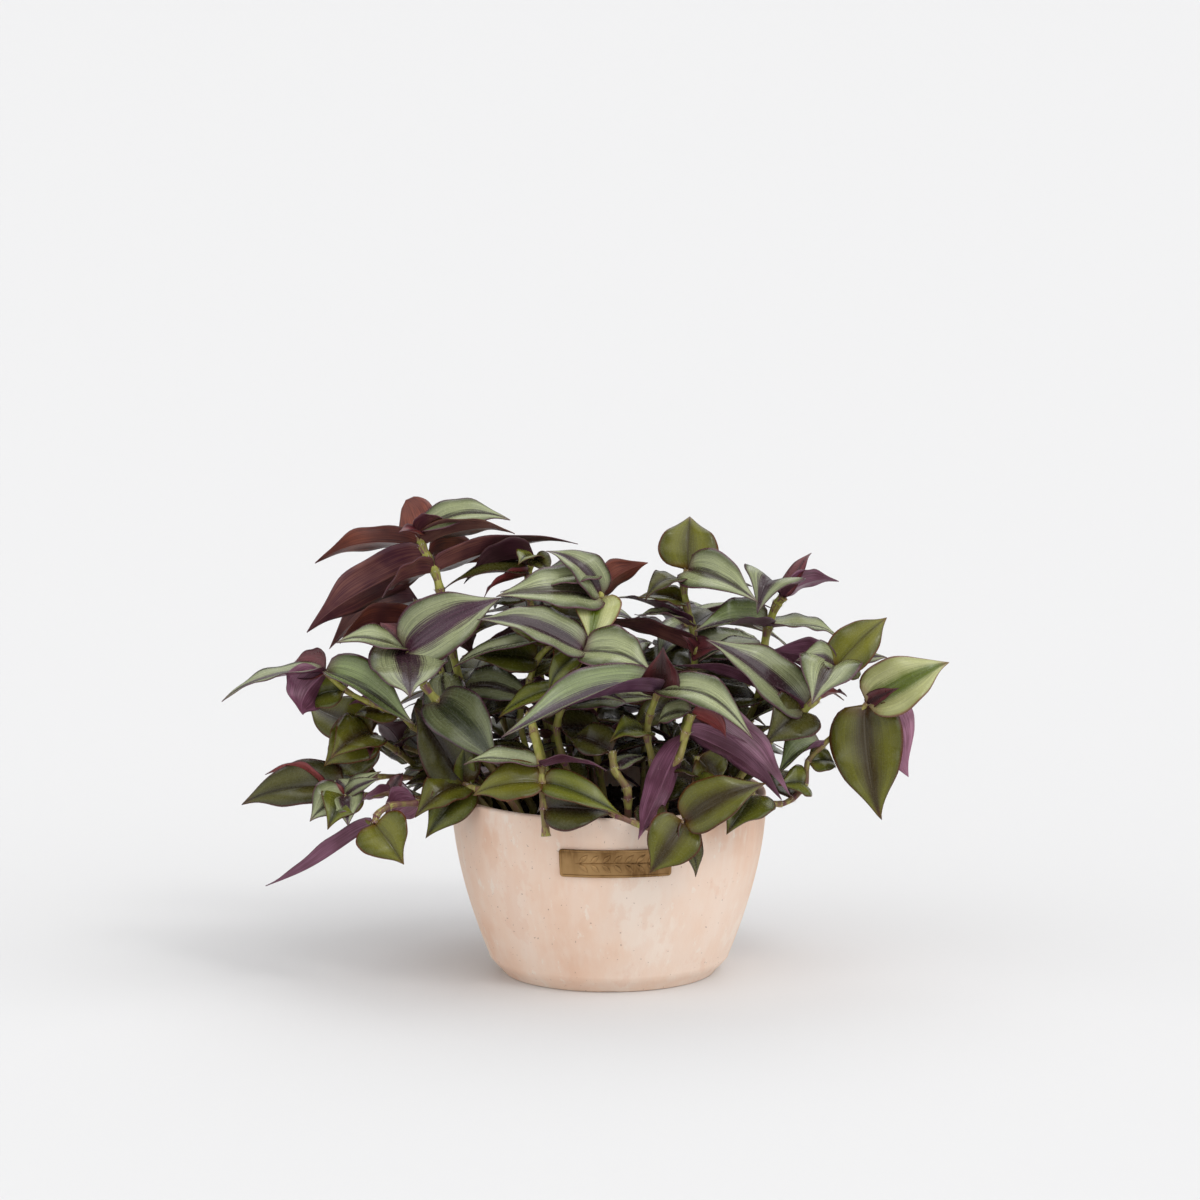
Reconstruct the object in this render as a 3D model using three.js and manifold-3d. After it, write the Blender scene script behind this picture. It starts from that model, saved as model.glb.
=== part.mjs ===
// A striped tradescantia in a round cement pot, with a small brass label plate on the pot's front.
// Millimetres, +Z up. The origin is the middle of the pot's foot, and the front looks along -Y.
// Every leafy stem is a solid of its own: a stem that stands in a hole in the soil, with a leaf at
// each of its joints.

import * as THREE from "three";
import { mergeVertices } from "three/addons/utils/BufferGeometryUtils.js";
import Module from "manifold-3d";

const wasm = await Module();
wasm.setup();

// ---- Driving sizes ----

const rimRadius = 78.5;
const potHeight = 91.7;
const footRadius = 53.5;
const chamferTop = 9.2;
const shoulderHeight = 84;
const wallSwell = 22;
const swellPower = 1.66;
const wallThickness = 4.1;
const floorThickness = 6;
const rimRounding = 0.9;
const roundSides = 32;

const drainRadius = 4.5;
const drainRing = 27;
const drainBearings = [30, 150, 270];
const footNotch = { width: 8, depth: 3, height: 0.8 };

const soilTop = 79;
const soilFootInset = 1.5;
const soilLumpHeight = 0.9;
const fitGap = 0.35;
const holeGap = 0.9;
const rootDepth = 9;

const plateWidth = 56;
const plateHeight = 14;
const plateThickness = 1.1;
const plateCorner = 1.6;
const plateBevel = 0.4;
const plateMiddle = 69.5;
const plateTurn = 2.4;

const bladeThickness = 0.8;
const clearOfNeighbour = 0.45;

// ---- The front view that the leaves are placed in ----

// The eye stands in front of the pot and a little above it, looking slightly down. On a sheet at
// the pot's distance, square to that look, a place is given by how far it is across from the pot's
// axis and up from the pot's foot.
const eye = new THREE.Vector3(-4.5, -2327, 535);
const lookDown = THREE.MathUtils.degToRad(8.5);
const sheetDistance = 2367;
const sheetMiddleUp = 184;

// The point on the sight line through a place in the front view, so far in front of the pot's axis.
function seen(across, up, forward) {
  const right = across - eye.x;
  const rise = up - sheetMiddleUp;
  const ray = new THREE.Vector3(
    right,
    sheetDistance * Math.cos(lookDown) + rise * Math.sin(lookDown),
    rise * Math.cos(lookDown) - sheetDistance * Math.sin(lookDown),
  );
  return ray.multiplyScalar((-forward - eye.y) / ray.y).add(eye);
}

// ---- Solids ----

function solidOf(geometry) {
  geometry.deleteAttribute("normal");
  geometry.deleteAttribute("uv");
  const merged = mergeVertices(geometry, 1e-4);
  return new wasm.Manifold(new wasm.Mesh({
    numProp: 3,
    vertProperties: new Float32Array(merged.attributes.position.array),
    triVerts: new Uint32Array(merged.index.array),
  }));
}

function meshOf(name, solid, material) {
  const cut = solid.getMesh();
  const geometry = new THREE.BufferGeometry();
  geometry.setAttribute("position", new THREE.BufferAttribute(new Float32Array(cut.vertProperties), 3));
  geometry.setIndex(new THREE.BufferAttribute(new Uint32Array(cut.triVerts), 1));
  geometry.computeVertexNormals();
  const mesh = new THREE.Mesh(geometry, material);
  mesh.name = name;
  return mesh;
}

// A turned body from [radius, height] pairs that run from the axis, round the section, to the axis.
function turned(profile) {
  const points = profile.map(([radius, height]) => new THREE.Vector2(radius, height));
  const geometry = new THREE.LatheGeometry(points, roundSides);
  geometry.rotateX(Math.PI / 2);
  return geometry;
}

// ---- Pot ----

function wallRadius(height) {
  const below = Math.max(0, 1 - height / shoulderHeight);
  return rimRadius - wallSwell * Math.pow(below, swellPower);
}

function steps(from, to, count) {
  return Array.from({ length: count + 1 }, (_, k) => from + (to - from) * k / count);
}

// The heights at which the pot's lining and the soil inside it bend.
const liningHeights = steps(soilTop, 2 * floorThickness, 2);

function drainHole(bearing) {
  const hole = new THREE.CylinderGeometry(drainRadius, drainRadius, 4 * floorThickness, 8);
  hole.rotateX(Math.PI / 2);
  hole.translate(drainRing, 0, 0);
  hole.rotateZ(THREE.MathUtils.degToRad(bearing));
  return solidOf(hole);
}

function makePot() {
  const outside = steps(chamferTop, potHeight - rimRounding, 5).map((z) => [wallRadius(z), z]);
  const inside = [potHeight - rimRounding, ...liningHeights].map((z) => [wallRadius(z) - wallThickness, z]);
  const body = solidOf(turned([
    [0, 0],
    [footRadius, 0],
    ...outside,
    [rimRadius - rimRounding, potHeight],
    [rimRadius - wallThickness + rimRounding, potHeight],
    ...inside,
    [footRadius - wallThickness, floorThickness],
    [0, floorThickness],
  ]));
  const notch = new THREE.BoxGeometry(footNotch.width, footNotch.depth, 2 * footNotch.height);
  notch.translate(0, -footRadius, 0);
  const cuts = [solidOf(notch), ...drainBearings.map(drainHole)];
  return body.subtract(wasm.Manifold.union(cuts));
}

// ---- Label plate ----

// Its sheet is bent to the pot's wall, and its face has a narrow bevel all round.
function makePlate() {
  const columns = [0, 0.3, 1, plateCorner];
  const half = plateWidth / 2;
  const across = [
    ...columns.map((x) => x - half),
    ...steps(plateCorner - half, half - plateCorner, 8).slice(1, -1),
    ...columns.map((x) => half - x).reverse(),
  ];
  const positions = [];
  const index = [];
  for (const x of across) {
    const fromEnd = Math.max(0, plateCorner - (half - Math.abs(x)));
    const rounding = plateCorner - Math.sqrt(Math.max(0, plateCorner ** 2 - fromEnd ** 2));
    const tall = plateHeight / 2 - rounding;
    const depthAtEdge = plateThickness - plateBevel;
    const section = [
      [tall, 0],
      [tall, depthAtEdge],
      [tall - plateBevel, plateThickness],
      [plateBevel - tall, plateThickness],
      [-tall, depthAtEdge],
      [-tall, 0],
    ];
    for (const [rise, depth] of section) {
      const height = plateMiddle + rise;
      const turn = THREE.MathUtils.degToRad(plateTurn) + x / rimRadius;
      const radius = wallRadius(height) + fitGap + depth;
      positions.push(radius * Math.sin(turn), -radius * Math.cos(turn), height);
    }
  }
  const ring = 6;
  for (let column = 0; column < across.length - 1; column++) {
    for (let k = 0; k < ring; k++) {
      const here = column * ring + k;
      const next = column * ring + (k + 1) % ring;
      index.push(here, next, here + ring, next, next + ring, here + ring);
    }
  }
  const last = (across.length - 1) * ring;
  for (let k = 1; k < ring - 1; k++) {
    index.push(0, k + 1, k, last, last + k, last + k + 1);
  }
  const geometry = new THREE.BufferGeometry();
  geometry.setAttribute("position", new THREE.Float32BufferAttribute(positions, 3));
  geometry.setIndex(index);
  return solidOf(geometry);
}

// ---- Soil ----

// The soil fills the pot to a finger's width under the rim, with a slightly lumpy top.
function makeSoil(feet) {
  const side = liningHeights.map((z) => [wallRadius(z) - wallThickness - fitGap, z]);
  const edge = side[0][0];
  const top = steps(0, edge, 3).map((r) => [r, soilTop]).slice(0, -1);
  const bottom = floorThickness + fitGap;
  const geometry = turned([
    [0, bottom],
    [footRadius - wallThickness - soilFootInset, bottom],
    ...side.reverse(),
    ...top.reverse(),
  ]);
  const place = geometry.attributes.position;
  for (let k = 0; k < place.count; k++) {
    const x = place.getX(k);
    const y = place.getY(k);
    const lump = soilLumpHeight * (Math.sin(x / 7.3 + 1.1) * Math.cos(y / 8.9) + Math.sin((x + y) / 15));
    const onTop = place.getZ(k) > soilTop - 0.01 && Math.hypot(x, y) < edge - 1;
    if (onTop) place.setZ(k, soilTop + lump);
  }
  const holes = feet.map(({ x, y, radius }) => {
    const hole = new THREE.CylinderGeometry(radius + holeGap, radius + holeGap, 2 * (rootDepth + fitGap), 5);
    hole.rotateX(Math.PI / 2);
    hole.translate(x, y, soilTop);
    return solidOf(hole);
  });
  return solidOf(geometry).subtract(wasm.Manifold.union(holes));
}

// ---- Leaves ----

// Each kind has its own fold along the middle, in degrees, and its colour seen from above.
const kind = (fold, colour) => ({ fold: THREE.MathUtils.degToRad(fold), colour });
const silver = kind(14, "#9aab87");
const green = kind(12, "#5f7d2c");
const olive = kind(11, "#6b7036");
const dark = kind(12, "#343d28");
const mauve = kind(13, "#6f4763");
const brown = kind(12, "#7a4a2c");
const young = kind(34, "#7c3840");
const rolled = kind(30, "#74806a");

// Half a leaf's width along its length, from 0 at the stem to 0 at the tip, and 1 at its widest.
function leafOutline(t) {
  return 2.8 * Math.pow(t, 0.55) * Math.pow(1 - t, 1.05);
}

// A leaf reaches from its joint to its tip. bow is how far its middle rises over that line, and its
// upper face looks straight up at a lean of 0, to the front at 90 and to the back at -90 degrees.
// side turns the face to the right.
function leaf(across, up, forward, wide, bow, lean, side, kindOfLeaf) {
  const tilt = THREE.MathUtils.degToRad(lean);
  const tip = seen(across, up, forward);
  return {
    tip,
    wide,
    bow,
    face: new THREE.Vector3(side, -Math.sin(tilt), Math.cos(tilt)),
    give: eye.clone().sub(tip).normalize(),
    kind: kindOfLeaf,
  };
}

function joint(across, up, forward, ...leaves) {
  return { at: seen(across, up, forward), leaves };
}

function shoot(name, thick, footAcross, footForward, ...joints) {
  return { name, radius: thick / 2, foot: new THREE.Vector3(footAcross, -footForward, soilTop), joints };
}

// The blade as a closed sheet: its root in the stem, rows of left edge, middle and right edge, and
// its tip, split into the same triangles on both faces.
const broadRows = [0.15, 0.38, 0.68];
const slimRows = [0.2, 0.55];
const broadFrom = 24.5;

function bladeSolid(base, { tip, wide, bow, face, kind: { fold } }, shift, extra) {
  const rows = wide < broadFrom ? slimRows : broadRows;
  const along = tip.clone().add(shift).sub(base);
  const up = face.clone().addScaledVector(along, -face.dot(along) / along.lengthSq()).normalize();
  const across = new THREE.Vector3().crossVectors(along, up).normalize();
  const sheet = bladeThickness / Math.cos(fold) + 2 * extra;
  const positions = [];
  const addPoint = (t, side, level) => {
    const half = Math.abs(side) * (wide / 2 * leafOutline(t) + extra);
    const rise = bow * 4 * t * (1 - t) + half * Math.sin(fold) + level * sheet / 2;
    const point = base.clone().addScaledVector(along, t).addScaledVector(up, rise)
      .addScaledVector(across, Math.sign(side) * half * Math.cos(fold));
    positions.push(point.x, point.y, point.z);
  };
  for (const level of [1, -1]) {
    addPoint(0, 0, level);
    rows.forEach((t) => [-1, 0, 1].forEach((side) => addPoint(t, side, level)));
    addPoint(1, 0, level);
  }
  const tipPoint = 1 + 3 * rows.length;
  const index = [];
  const onBothFaces = (...corners) => {
    const [a, b, c] = corners.map((corner) => corner + tipPoint + 1);
    index.push(...corners, a, c, b);
  };
  onBothFaces(0, 3, 2);
  onBothFaces(0, 2, 1);
  for (let left = 1; left < tipPoint - 3; left += 3) {
    onBothFaces(left, left + 1, left + 3);
    onBothFaces(left + 1, left + 4, left + 3);
    onBothFaces(left + 1, left + 2, left + 5);
    onBothFaces(left + 1, left + 5, left + 4);
  }
  onBothFaces(tipPoint - 3, tipPoint - 2, tipPoint);
  onBothFaces(tipPoint - 2, tipPoint - 1, tipPoint);
  const rightEdge = rows.map((_, row) => 3 * row + 3);
  const leftEdge = rows.map((_, row) => 3 * row + 1).reverse();
  const edge = [0, ...rightEdge, tipPoint, ...leftEdge];
  edge.forEach((a, k) => {
    const b = edge[(k + 1) % edge.length];
    index.push(a, a + tipPoint + 1, b, b, a + tipPoint + 1, b + tipPoint + 1);
  });
  return new wasm.Manifold(new wasm.Mesh({
    numProp: 3,
    vertProperties: new Float32Array(positions),
    triVerts: new Uint32Array(index),
  }));
}

// ---- Stems ----

const stemSides = 5;
const collarHeight = 3;

// A smooth curve whose even steps fall on its own points, so that a stem has a ring at every joint.
class StemPath extends THREE.CatmullRomCurve3 {
  getUtoTmapping(part) {
    return part;
  }
}

// A round stem along a curve from its root end in the soil through all its joints.
function stemSolid({ foot, radius, joints }) {
  const corners = steps(0, 2 * Math.PI, stemSides).slice(1)
    .map((turn) => new THREE.Vector2(radius * Math.cos(turn), radius * Math.sin(turn)));
  const root = foot.clone().setZ(foot.z - rootDepth);
  const collar = foot.clone().setZ(foot.z + collarHeight);
  const places = [root, foot, collar, ...joints.map(({ at }) => at)];
  return solidOf(new THREE.ExtrudeGeometry(new THREE.Shape(corners), {
    steps: places.length - 1,
    bevelEnabled: false,
    extrudePath: new StemPath(places),
  }));
}

// ---- The shoots that show from the front, from left to right and from the top down ----

const frontShoots = [
  shoot("stem_left_crown", 4.6, -38, 0,
    joint(-66, 120, -4),
    joint(-78.5, 159, -6),
    joint(-84.5, 189, -6),
    joint(-87, 198, -7,
      leaf(-16, 213.5, -26, 26, 6, -35, 0, mauve),
      leaf(-114, 186, 10, 24, 3, -40, 0, mauve)),
    joint(-90.5, 205, -8,
      leaf(-151.5, 168.5, -6, 30, 4, -50, 0, mauve),
      leaf(-59.5, 203.5, -40, 24, 4, -70, 0, brown)),
    joint(-93.5, 211, -9,
      leaf(-147, 203.5, -26, 24, 6, -38, 0, brown),
      leaf(-47, 219, 10, 22, 5, -30, 0, olive)),
    joint(-94.5, 217, -10,
      leaf(-101, 233.5, -36, 20, 3, -80, 0, brown),
      leaf(-49.5, 225, -14, 27, 7, 30, 0, silver))),
  shoot("stem_left_heart", 4.6, -44, 16,
    joint(-63.5, 106, 22),
    joint(-69.5, 111, 24),
    joint(-77, 122.5, 28),
    joint(-86, 133.5, 30,
      leaf(-54.5, 100.5, 62, 29, 6, 60, 0, dark)),
    joint(-92, 141, 30),
    joint(-101.5, 158, 28,
      leaf(-99.5, 137, 82, 38, 8, 20, 0, silver),
      leaf(-54.5, 185.5, 26, 34, 6, 62, 0, silver),
      leaf(-114.5, 173, 20, 16, 2, 60, 0, young),
      leaf(-136, 163.5, 38, 22, 4, 20, 0, silver))),
  shoot("stem_left_behind", 3.6, -46, -12,
    joint(-74, 124, -18),
    joint(-88, 158, -20),
    joint(-98, 170, -20,
      leaf(-135.5, 164, 2, 28, 5, -50, 0, brown)),
    joint(-95.5, 184, -22,
      leaf(-140, 161.5, -34, 30, 6, -40, 0, mauve))),
  shoot("stem_left_middle", 3, -52, 3,
    joint(-84.5, 111.5, 10),
    joint(-98, 120.5, 16),
    joint(-104.5, 126.5, 20,
      leaf(-128.5, 127, 14, 18, 3, 40, 0, olive)),
    joint(-112, 129.5, 23),
    joint(-119.5, 132.5, 25),
    joint(-132, 139, 28,
      leaf(-151.5, 131, 22, 20, 4, 50, 0, green)),
    joint(-142, 148, 30,
      leaf(-159, 153, 14, 21, 2, 60, 0, young),
      leaf(-194, 134.5, 40, 22, 4, 3, 0, silver),
      leaf(-154.5, 126.5, 44, 26, 5, -60, 0, mauve),
      leaf(-97.5, 122, 44, 28, 5, 62, 0, rolled))),
  shoot("stem_left_olive", 3.4, -60, -16,
    joint(-76, 98, -14),
    joint(-88.5, 96.5, -8),
    joint(-106, 108.5, 8),
    joint(-119, 116.5, 18,
      leaf(-151, 131.5, 16, 26, 4, 60, 0, olive),
      leaf(-139, 105.5, 42, 26, 6, 50, 0, olive),
      leaf(-142.5, 101.5, 30, 27, 5, 55, 0, olive),
      leaf(-139.5, 95, 18, 28, 4, 60, 0, brown))),
  shoot("stem_left_small", 2.6, -50, -26,
    joint(-78.5, 103, -20),
    joint(-91, 106.5, -10),
    joint(-103.5, 111, -4,
      leaf(-117, 123, 2, 18, 3, -50, 0, dark),
      leaf(-108.5, 104, 20, 16, 3, 70, 0, dark),
      leaf(-96, 117, 12, 14, 3, 50, 0, dark))),
  shoot("stem_left_low", 3.4, -62, 10,
    joint(-75.5, 93.5, 12),
    joint(-84.5, 88, 24),
    joint(-97, 84.5, 36),
    joint(-109.5, 87.5, 42),
    joint(-122, 86, 46),
    joint(-132, 85.5, 46,
      leaf(-149.5, 74, 60, 24, 4, 50, 0, silver),
      leaf(-140.5, 70.5, 68, 22, 4, 60, 0, green),
      leaf(-130.5, 71.5, 66, 20, 4, 70, 0, silver),
      leaf(-145.5, 83.5, 50, 14, 2, -60, 0, young),
      leaf(-136.5, 95, 40, 18, 2, 70, 0, silver))),
  shoot("stem_left_long", 3, -62, -4,
    joint(-76, 97.5, -4),
    joint(-91.5, 94.5, 6),
    joint(-104.5, 95.5, 14),
    joint(-115.5, 95.5, 20),
    joint(-132, 91.5, 26,
      leaf(-184, 83, 30, 28, 4, 42, 0, dark)),
    joint(-142, 90.5, 28,
      leaf(-171.5, 98, 20, 16, 5, -20, 0, young))),
  shoot("stem_left_hanging", 3.4, -58, 22,
    joint(-73, 91.5, 24),
    joint(-81, 85, 38),
    joint(-95.5, 82.5, 48,
      leaf(-112.5, 70.5, 52, 26, 3, -50, 0, mauve)),
    joint(-109.5, 81, 56),
    joint(-116, 76.5, 60),
    joint(-117, 72, 62,
      leaf(-172, 41.5, 68, 25, -3, -42, 0, mauve),
      leaf(-103, 52.5, 74, 28, 4, 72, 0, olive))),
  shoot("stem_rim_left", 3.8, -42, 46,
    joint(-53, 87, 51),
    joint(-69.5, 90, 42),
    joint(-72, 91.5, 36,
      leaf(-97.5, 131, 46, 28, 5, 75, 0, dark),
      leaf(-97, 76, 54, 23, 5, 42, 0, olive),
      leaf(-91.5, 65.5, 48, 23, 5, 70, 0, green))),
  shoot("stem_front_hanging", 4.2, -25, 30,
    joint(-39.5, 126.5, 50),
    joint(-37.5, 117, 66),
    joint(-34, 100, 81,
      leaf(-72.5, 103, 84, 22, 3, 12, 0, silver),
      leaf(-1, 100, 90, 20, 3, -12, 0, mauve)),
    joint(-33.5, 92.5, 85,
      leaf(-68, 87, 88, 24, 4, 42, 0, olive),
      leaf(7.5, 75.5, 96, 18, 6, 45, 0, green)),
    joint(-32.5, 80, 88,
      leaf(1, 77.5, 88, 26, 4, 60, 0, dark)),
    joint(-31.5, 66, 89)),
  shoot("stem_middle_pair", 4, -12, 20,
    joint(-23, 105.5, 30),
    joint(-26, 120.5, 34,
      leaf(2.5, 111.5, 20, 22, 4, 40, 0, dark)),
    joint(-20.5, 139, 38,
      leaf(-55.5, 126, 46, 18, 4, 15, 0, green)),
    joint(-13, 158, 40,
      leaf(-65.5, 175, 52, 29, 5, 35, 0, silver),
      leaf(23, 146.5, 52, 30, 6, 40, 0, silver),
      leaf(-30.5, 139, 46, 15, 4, 30, 0, green))),
  shoot("stem_middle_low", 4.2, 9, 62,
    joint(9.5, 84, 64),
    joint(9, 89.5, 64),
    joint(3, 99, 60),
    joint(1.5, 108, 56,
      leaf(-20, 115, 44, 22, 4, 40, 0, dark))),
  shoot("stem_middle_tall", 4.2, -2, -2,
    joint(-8, 124, 4),
    joint(-6.5, 140, 4),
    joint(-5.5, 159, 10),
    joint(-4.5, 185, 16,
      leaf(-56, 187, 34, 31, 4, 42, 0, silver),
      leaf(-31, 209, 14, 23, 8, 35, 0, silver),
      leaf(19, 203, 4, 22, 4, -45, 0, brown),
      leaf(-9.5, 161.5, 38, 24, 5, 70, 0, green)),
    joint(-5, 194, 14,
      leaf(-37.5, 190.5, 24, 24, 4, 20, 0, silver))),
  shoot("stem_middle_behind", 3.6, -20, -15,
    joint(-32, 134, -14),
    joint(-37, 169, -16),
    joint(-40.5, 196.5, -14,
      leaf(-84, 190.5, -8, 22, 4, 10, 0, dark),
      leaf(-63, 187, 4, 16, 2, -30, 0, young)),
    joint(-37, 205, -14,
      leaf(-73, 194, -20, 28, 4, -40, 0, dark),
      leaf(-45, 203, 8, 14, 2, 40, 0, green))),
  shoot("stem_middle_shade", 3.6, -30, 12,
    joint(-44.5, 124, 10),
    joint(-39.5, 144, 12),
    joint(-36, 154, 14,
      leaf(-73.5, 156.5, 18, 24, 4, 50, 0, green)),
    joint(-28, 163, 16,
      leaf(-78, 151, 32, 20, 4, 8, 0, silver),
      leaf(-54.5, 176.5, 14, 22, 4, 40, 0, green))),
  shoot("stem_right_crown", 4, 28, -5,
    joint(40.5, 134, 2),
    joint(43, 158, 6,
      leaf(-17.5, 171, 0, 26, 5, -28, 0, mauve),
      leaf(55.5, 160, 14, 15, 2, 60, 0, young)),
    joint(42, 170, 6,
      leaf(12, 175.5, 14, 20, 4, 10, 0, silver),
      leaf(-2, 185.5, -10, 22, 4, -20, 0, mauve)),
    joint(38.5, 182, 4,
      leaf(14, 185.5, 8, 16, 3, 30, 0, olive)),
    joint(37.5, 191, 2,
      leaf(18, 185.5, 18, 18, 6, 10, 0, dark)),
    joint(39.5, 199, 0,
      leaf(40.5, 226.5, -12, 31, 4, 75, 0, olive),
      leaf(74, 184, 30, 33, 6, 58, 0, silver))),
  shoot("stem_right_tall", 4.6, 42, 0,
    joint(70, 124, -2),
    joint(76.5, 144, 0),
    joint(77.5, 159, 2,
      leaf(45, 154, 20, 20, 4, 10, 0, silver)),
    joint(79.5, 170, 4,
      leaf(43, 169, 22, 29, 5, 45, 0, rolled),
      leaf(116.5, 165, 0, 20, 4, 8, 0, silver)),
    joint(84, 182, 6),
    joint(87, 185.5, 8,
      leaf(114.5, 194, -4, 20, 4, -45, 0, mauve),
      leaf(74, 178, 50, 35, 12, 10, 0, silver))),
  shoot("stem_right_big", 4.4, 52, 24,
    joint(77.5, 110.5, 36),
    joint(87, 118, 40),
    joint(94, 118.5, 41),
    joint(97, 128, 42,
      leaf(48.5, 164.5, 46, 31, 5, 38, 0, silver),
      leaf(78, 112.5, 64, 28, 5, 70, 0, dark),
      leaf(32.5, 152, 28, 24, 4, -20, 0, mauve)),
    joint(103, 134, 42),
    joint(113, 150, 36,
      leaf(139, 175.5, 24, 23, 3, 62, 0, olive),
      leaf(94, 154.5, 46, 22, 4, 40, 0, silver),
      leaf(101.5, 132.5, 76, 33, 6, 32, 0, silver),
      leaf(81, 159, 16, 22, 3, -60, 0, mauve),
      leaf(127, 148, 20, 15, 2, 60, 0, brown))),
  shoot("stem_right_trailing", 3, 48, 40,
    joint(63, 88.5, 45),
    joint(71.5, 86.5, 43,
      leaf(59.5, 68, 78, 27, 4, 72, 0, green)),
    joint(75.5, 84.5, 40),
    joint(85.5, 82, 36),
    joint(91.5, 84.5, 34),
    joint(98, 91.5, 32,
      leaf(85.5, 92, 44, 18, 3, 60, 0, green)),
    joint(99.5, 103, 30,
      leaf(114.5, 101, 22, 16, 3, 50, 0, green)),
    joint(106.5, 111, 30,
      leaf(84.5, 98, 54, 24, 4, 42, 0, rolled)),
    joint(118, 121.5, 27),
    joint(129, 132, 24,
      leaf(136.5, 74, 36, 41, 4, 84, 0, olive),
      leaf(149.5, 96.5, 10, 34, 4, -80, 0, mauve),
      leaf(170, 153.5, 18, 31, 3, 55, 0, green))),
  shoot("stem_centre_right", 3.8, 24, 48,
    joint(26, 81.5, 50),
    joint(23.5, 91, 51),
    joint(21.5, 104, 50),
    joint(19, 117, 50,
      leaf(1, 115, 66, 18, 4, 30, 0, green)),
    joint(20.5, 126.5, 52),
    joint(24.5, 138, 54,
      leaf(27, 160, 62, 22, 2, 75, 0, young),
      leaf(72, 115, 80, 29, 12, 35, 0, silver),
      leaf(-53.5, 116.5, 78, 33, 8, 42, 0, rolled))),
  shoot("stem_front_purple", 4.4, 15, 57,
    joint(26.5, 98.5, 66),
    joint(34.5, 105, 66),
    joint(38.5, 118, 66,
      leaf(14, 63.5, 94, 28, 4, -85, 0, mauve),
      leaf(87, 85.5, 66, 20, 4, -40, 0, mauve)),
    joint(41.5, 127.5, 68,
      leaf(59.5, 115, 84, 18, 3, -50, 0, young),
      leaf(91, 86.5, 82, 29, 5, -55, 0, mauve),
      leaf(23, 121.5, 60, 18, 3, 30, 0, silver))),
  shoot("stem_front_right", 2.8, 40, 50,
    joint(41.5, 87.5, 54,
      leaf(59, 92.5, 72, 14, 3, 50, 0, green)),
    joint(43, 95, 56,
      leaf(26, 98, 70, 16, 4, 20, 0, dark)),
    joint(44, 106, 55,
      leaf(56, 93, 66, 22, 4, 68, 0, olive))),
  shoot("stem_over_rim", 3.2, -8, 60,
    joint(-4.5, 80, 76),
    joint(3, 76.5, 84),
    joint(15.5, 71.5, 86.5),
    joint(23, 69.5, 87.5,
      leaf(18, 83, 90, 16, 3, 60, 0, dark)),
    joint(37.5, 73, 88,
      leaf(20.5, 47.5, 97, 27, 4, 84, 0, olive),
      leaf(78, 93, 86, 26, 5, 58, 0, olive))),
];

// ---- The shoots at the back and inside, by a rule ----

// The same numbers come each time, from 0 to 1.
let drawn = 20261;
function draw() {
  drawn = (drawn * 1664525 + 1013904223) % 4294967296;
  return drawn / 4294967296;
}
const between = (low, high) => low + (high - low) * draw();

// bearing is the way a shoot grows in degrees, 0 to the right and 90 to the back. It stands out to
// its reach, and is at its tallest at the peak, a part of its length. Its leaves lean outward, or
// inward where outward is below 0.
const ruleRows = [
  { place: "inner", footRing: 34, reach: 38, tall: 54, peak: 1, outward: -0.5, bearings: [60, 110, 150] },
  { place: "back_top", footRing: 40, reach: 58, tall: 92, peak: 1, outward: 0.3, bearings: [44, 118] },
  { place: "back_middle", footRing: 52, reach: 84, tall: 60, peak: 0.9, outward: 0.4, bearings: [32, 70, 104, 146] },
  { place: "back_low", footRing: 64, reach: 98, tall: 28, peak: 0.5, outward: 0.6, bearings: [66, 98, 128] },
];
const jointPlaces = [0.4, 0.62, 0.82, 1];
const ruleKinds = [silver, olive, dark, silver, green, dark];

function ruleShoot({ place, footRing, reach, tall, peak, outward }, bearing, number) {
  const turn = THREE.MathUtils.degToRad(bearing);
  const out = new THREE.Vector3(Math.cos(turn), Math.sin(turn), 0);
  const joints = jointPlaces.map((part, k) => {
    const along = part / peak;
    const at = out.clone().multiplyScalar(footRing + (reach - footRing) * part)
      .setZ(soilTop + tall * (2 * along - along * along));
    return { at, sides: part === 1 ? [1, -1] : [k % 2 ? 1 : -1] };
  });
  const foot = out.clone().multiplyScalar(footRing).setZ(soilTop);
  const kindOfLeaf = ruleKinds[Math.floor(draw() * ruleKinds.length)];
  const radius = between(1.5, 2.1);
  return { name: `stem_${place}_${number}`, radius, foot, joints, bearing, out, outward, kindOfLeaf };
}

const ruleShoots = ruleRows.flatMap((row) => (
  row.bearings.map((bearing, k) => ruleShoot(row, bearing, k + 1))
));

// A leaf on one side of such a shoot, 1 to its left and -1 to its right.
function drawnLeaf(at, side, { bearing, out, outward, kindOfLeaf }) {
  const turn = THREE.MathUtils.degToRad(bearing + side * between(20, 85));
  const reach = new THREE.Vector3(Math.cos(turn), Math.sin(turn), between(-0.35, 0.2));
  const long = between(42, 58);
  return {
    tip: at.clone().addScaledVector(reach, long),
    wide: long * between(0.42, 0.54),
    bow: between(2, 7),
    face: new THREE.Vector3(0, 0, 1).addScaledVector(out, outward + between(-0.2, 0.3)),
    kind: kindOfLeaf,
  };
}

// ---- The plant put together ----

const shoots = [...frontShoots, ...ruleShoots];

const pot = makePot();
const plate = makePlate();
const soil = makeSoil(shoots.map(({ foot, radius }) => ({ x: foot.x, y: foot.y, radius })));

function boxesMeet(a, b) {
  return [0, 1, 2].every((axis) => a.min[axis] < b.max[axis] && b.min[axis] < a.max[axis]);
}

const placed = [pot, plate, soil].map((solid) => ({ solid, owner: null, box: solid.boundingBox() }));
const stems = shoots.map((owner) => {
  const solid = stemSolid(owner);
  placed.push({ solid, owner, box: solid.boundingBox() });
  return solid;
});

function isClear(base, blade, shift, owner) {
  const solid = bladeSolid(base, blade, shift, clearOfNeighbour);
  const box = solid.boundingBox();
  return placed.every((other) => (
    other.owner === owner || !boxesMeet(box, other.box) || solid.intersect(other.solid).isEmpty()
  ));
}

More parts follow.
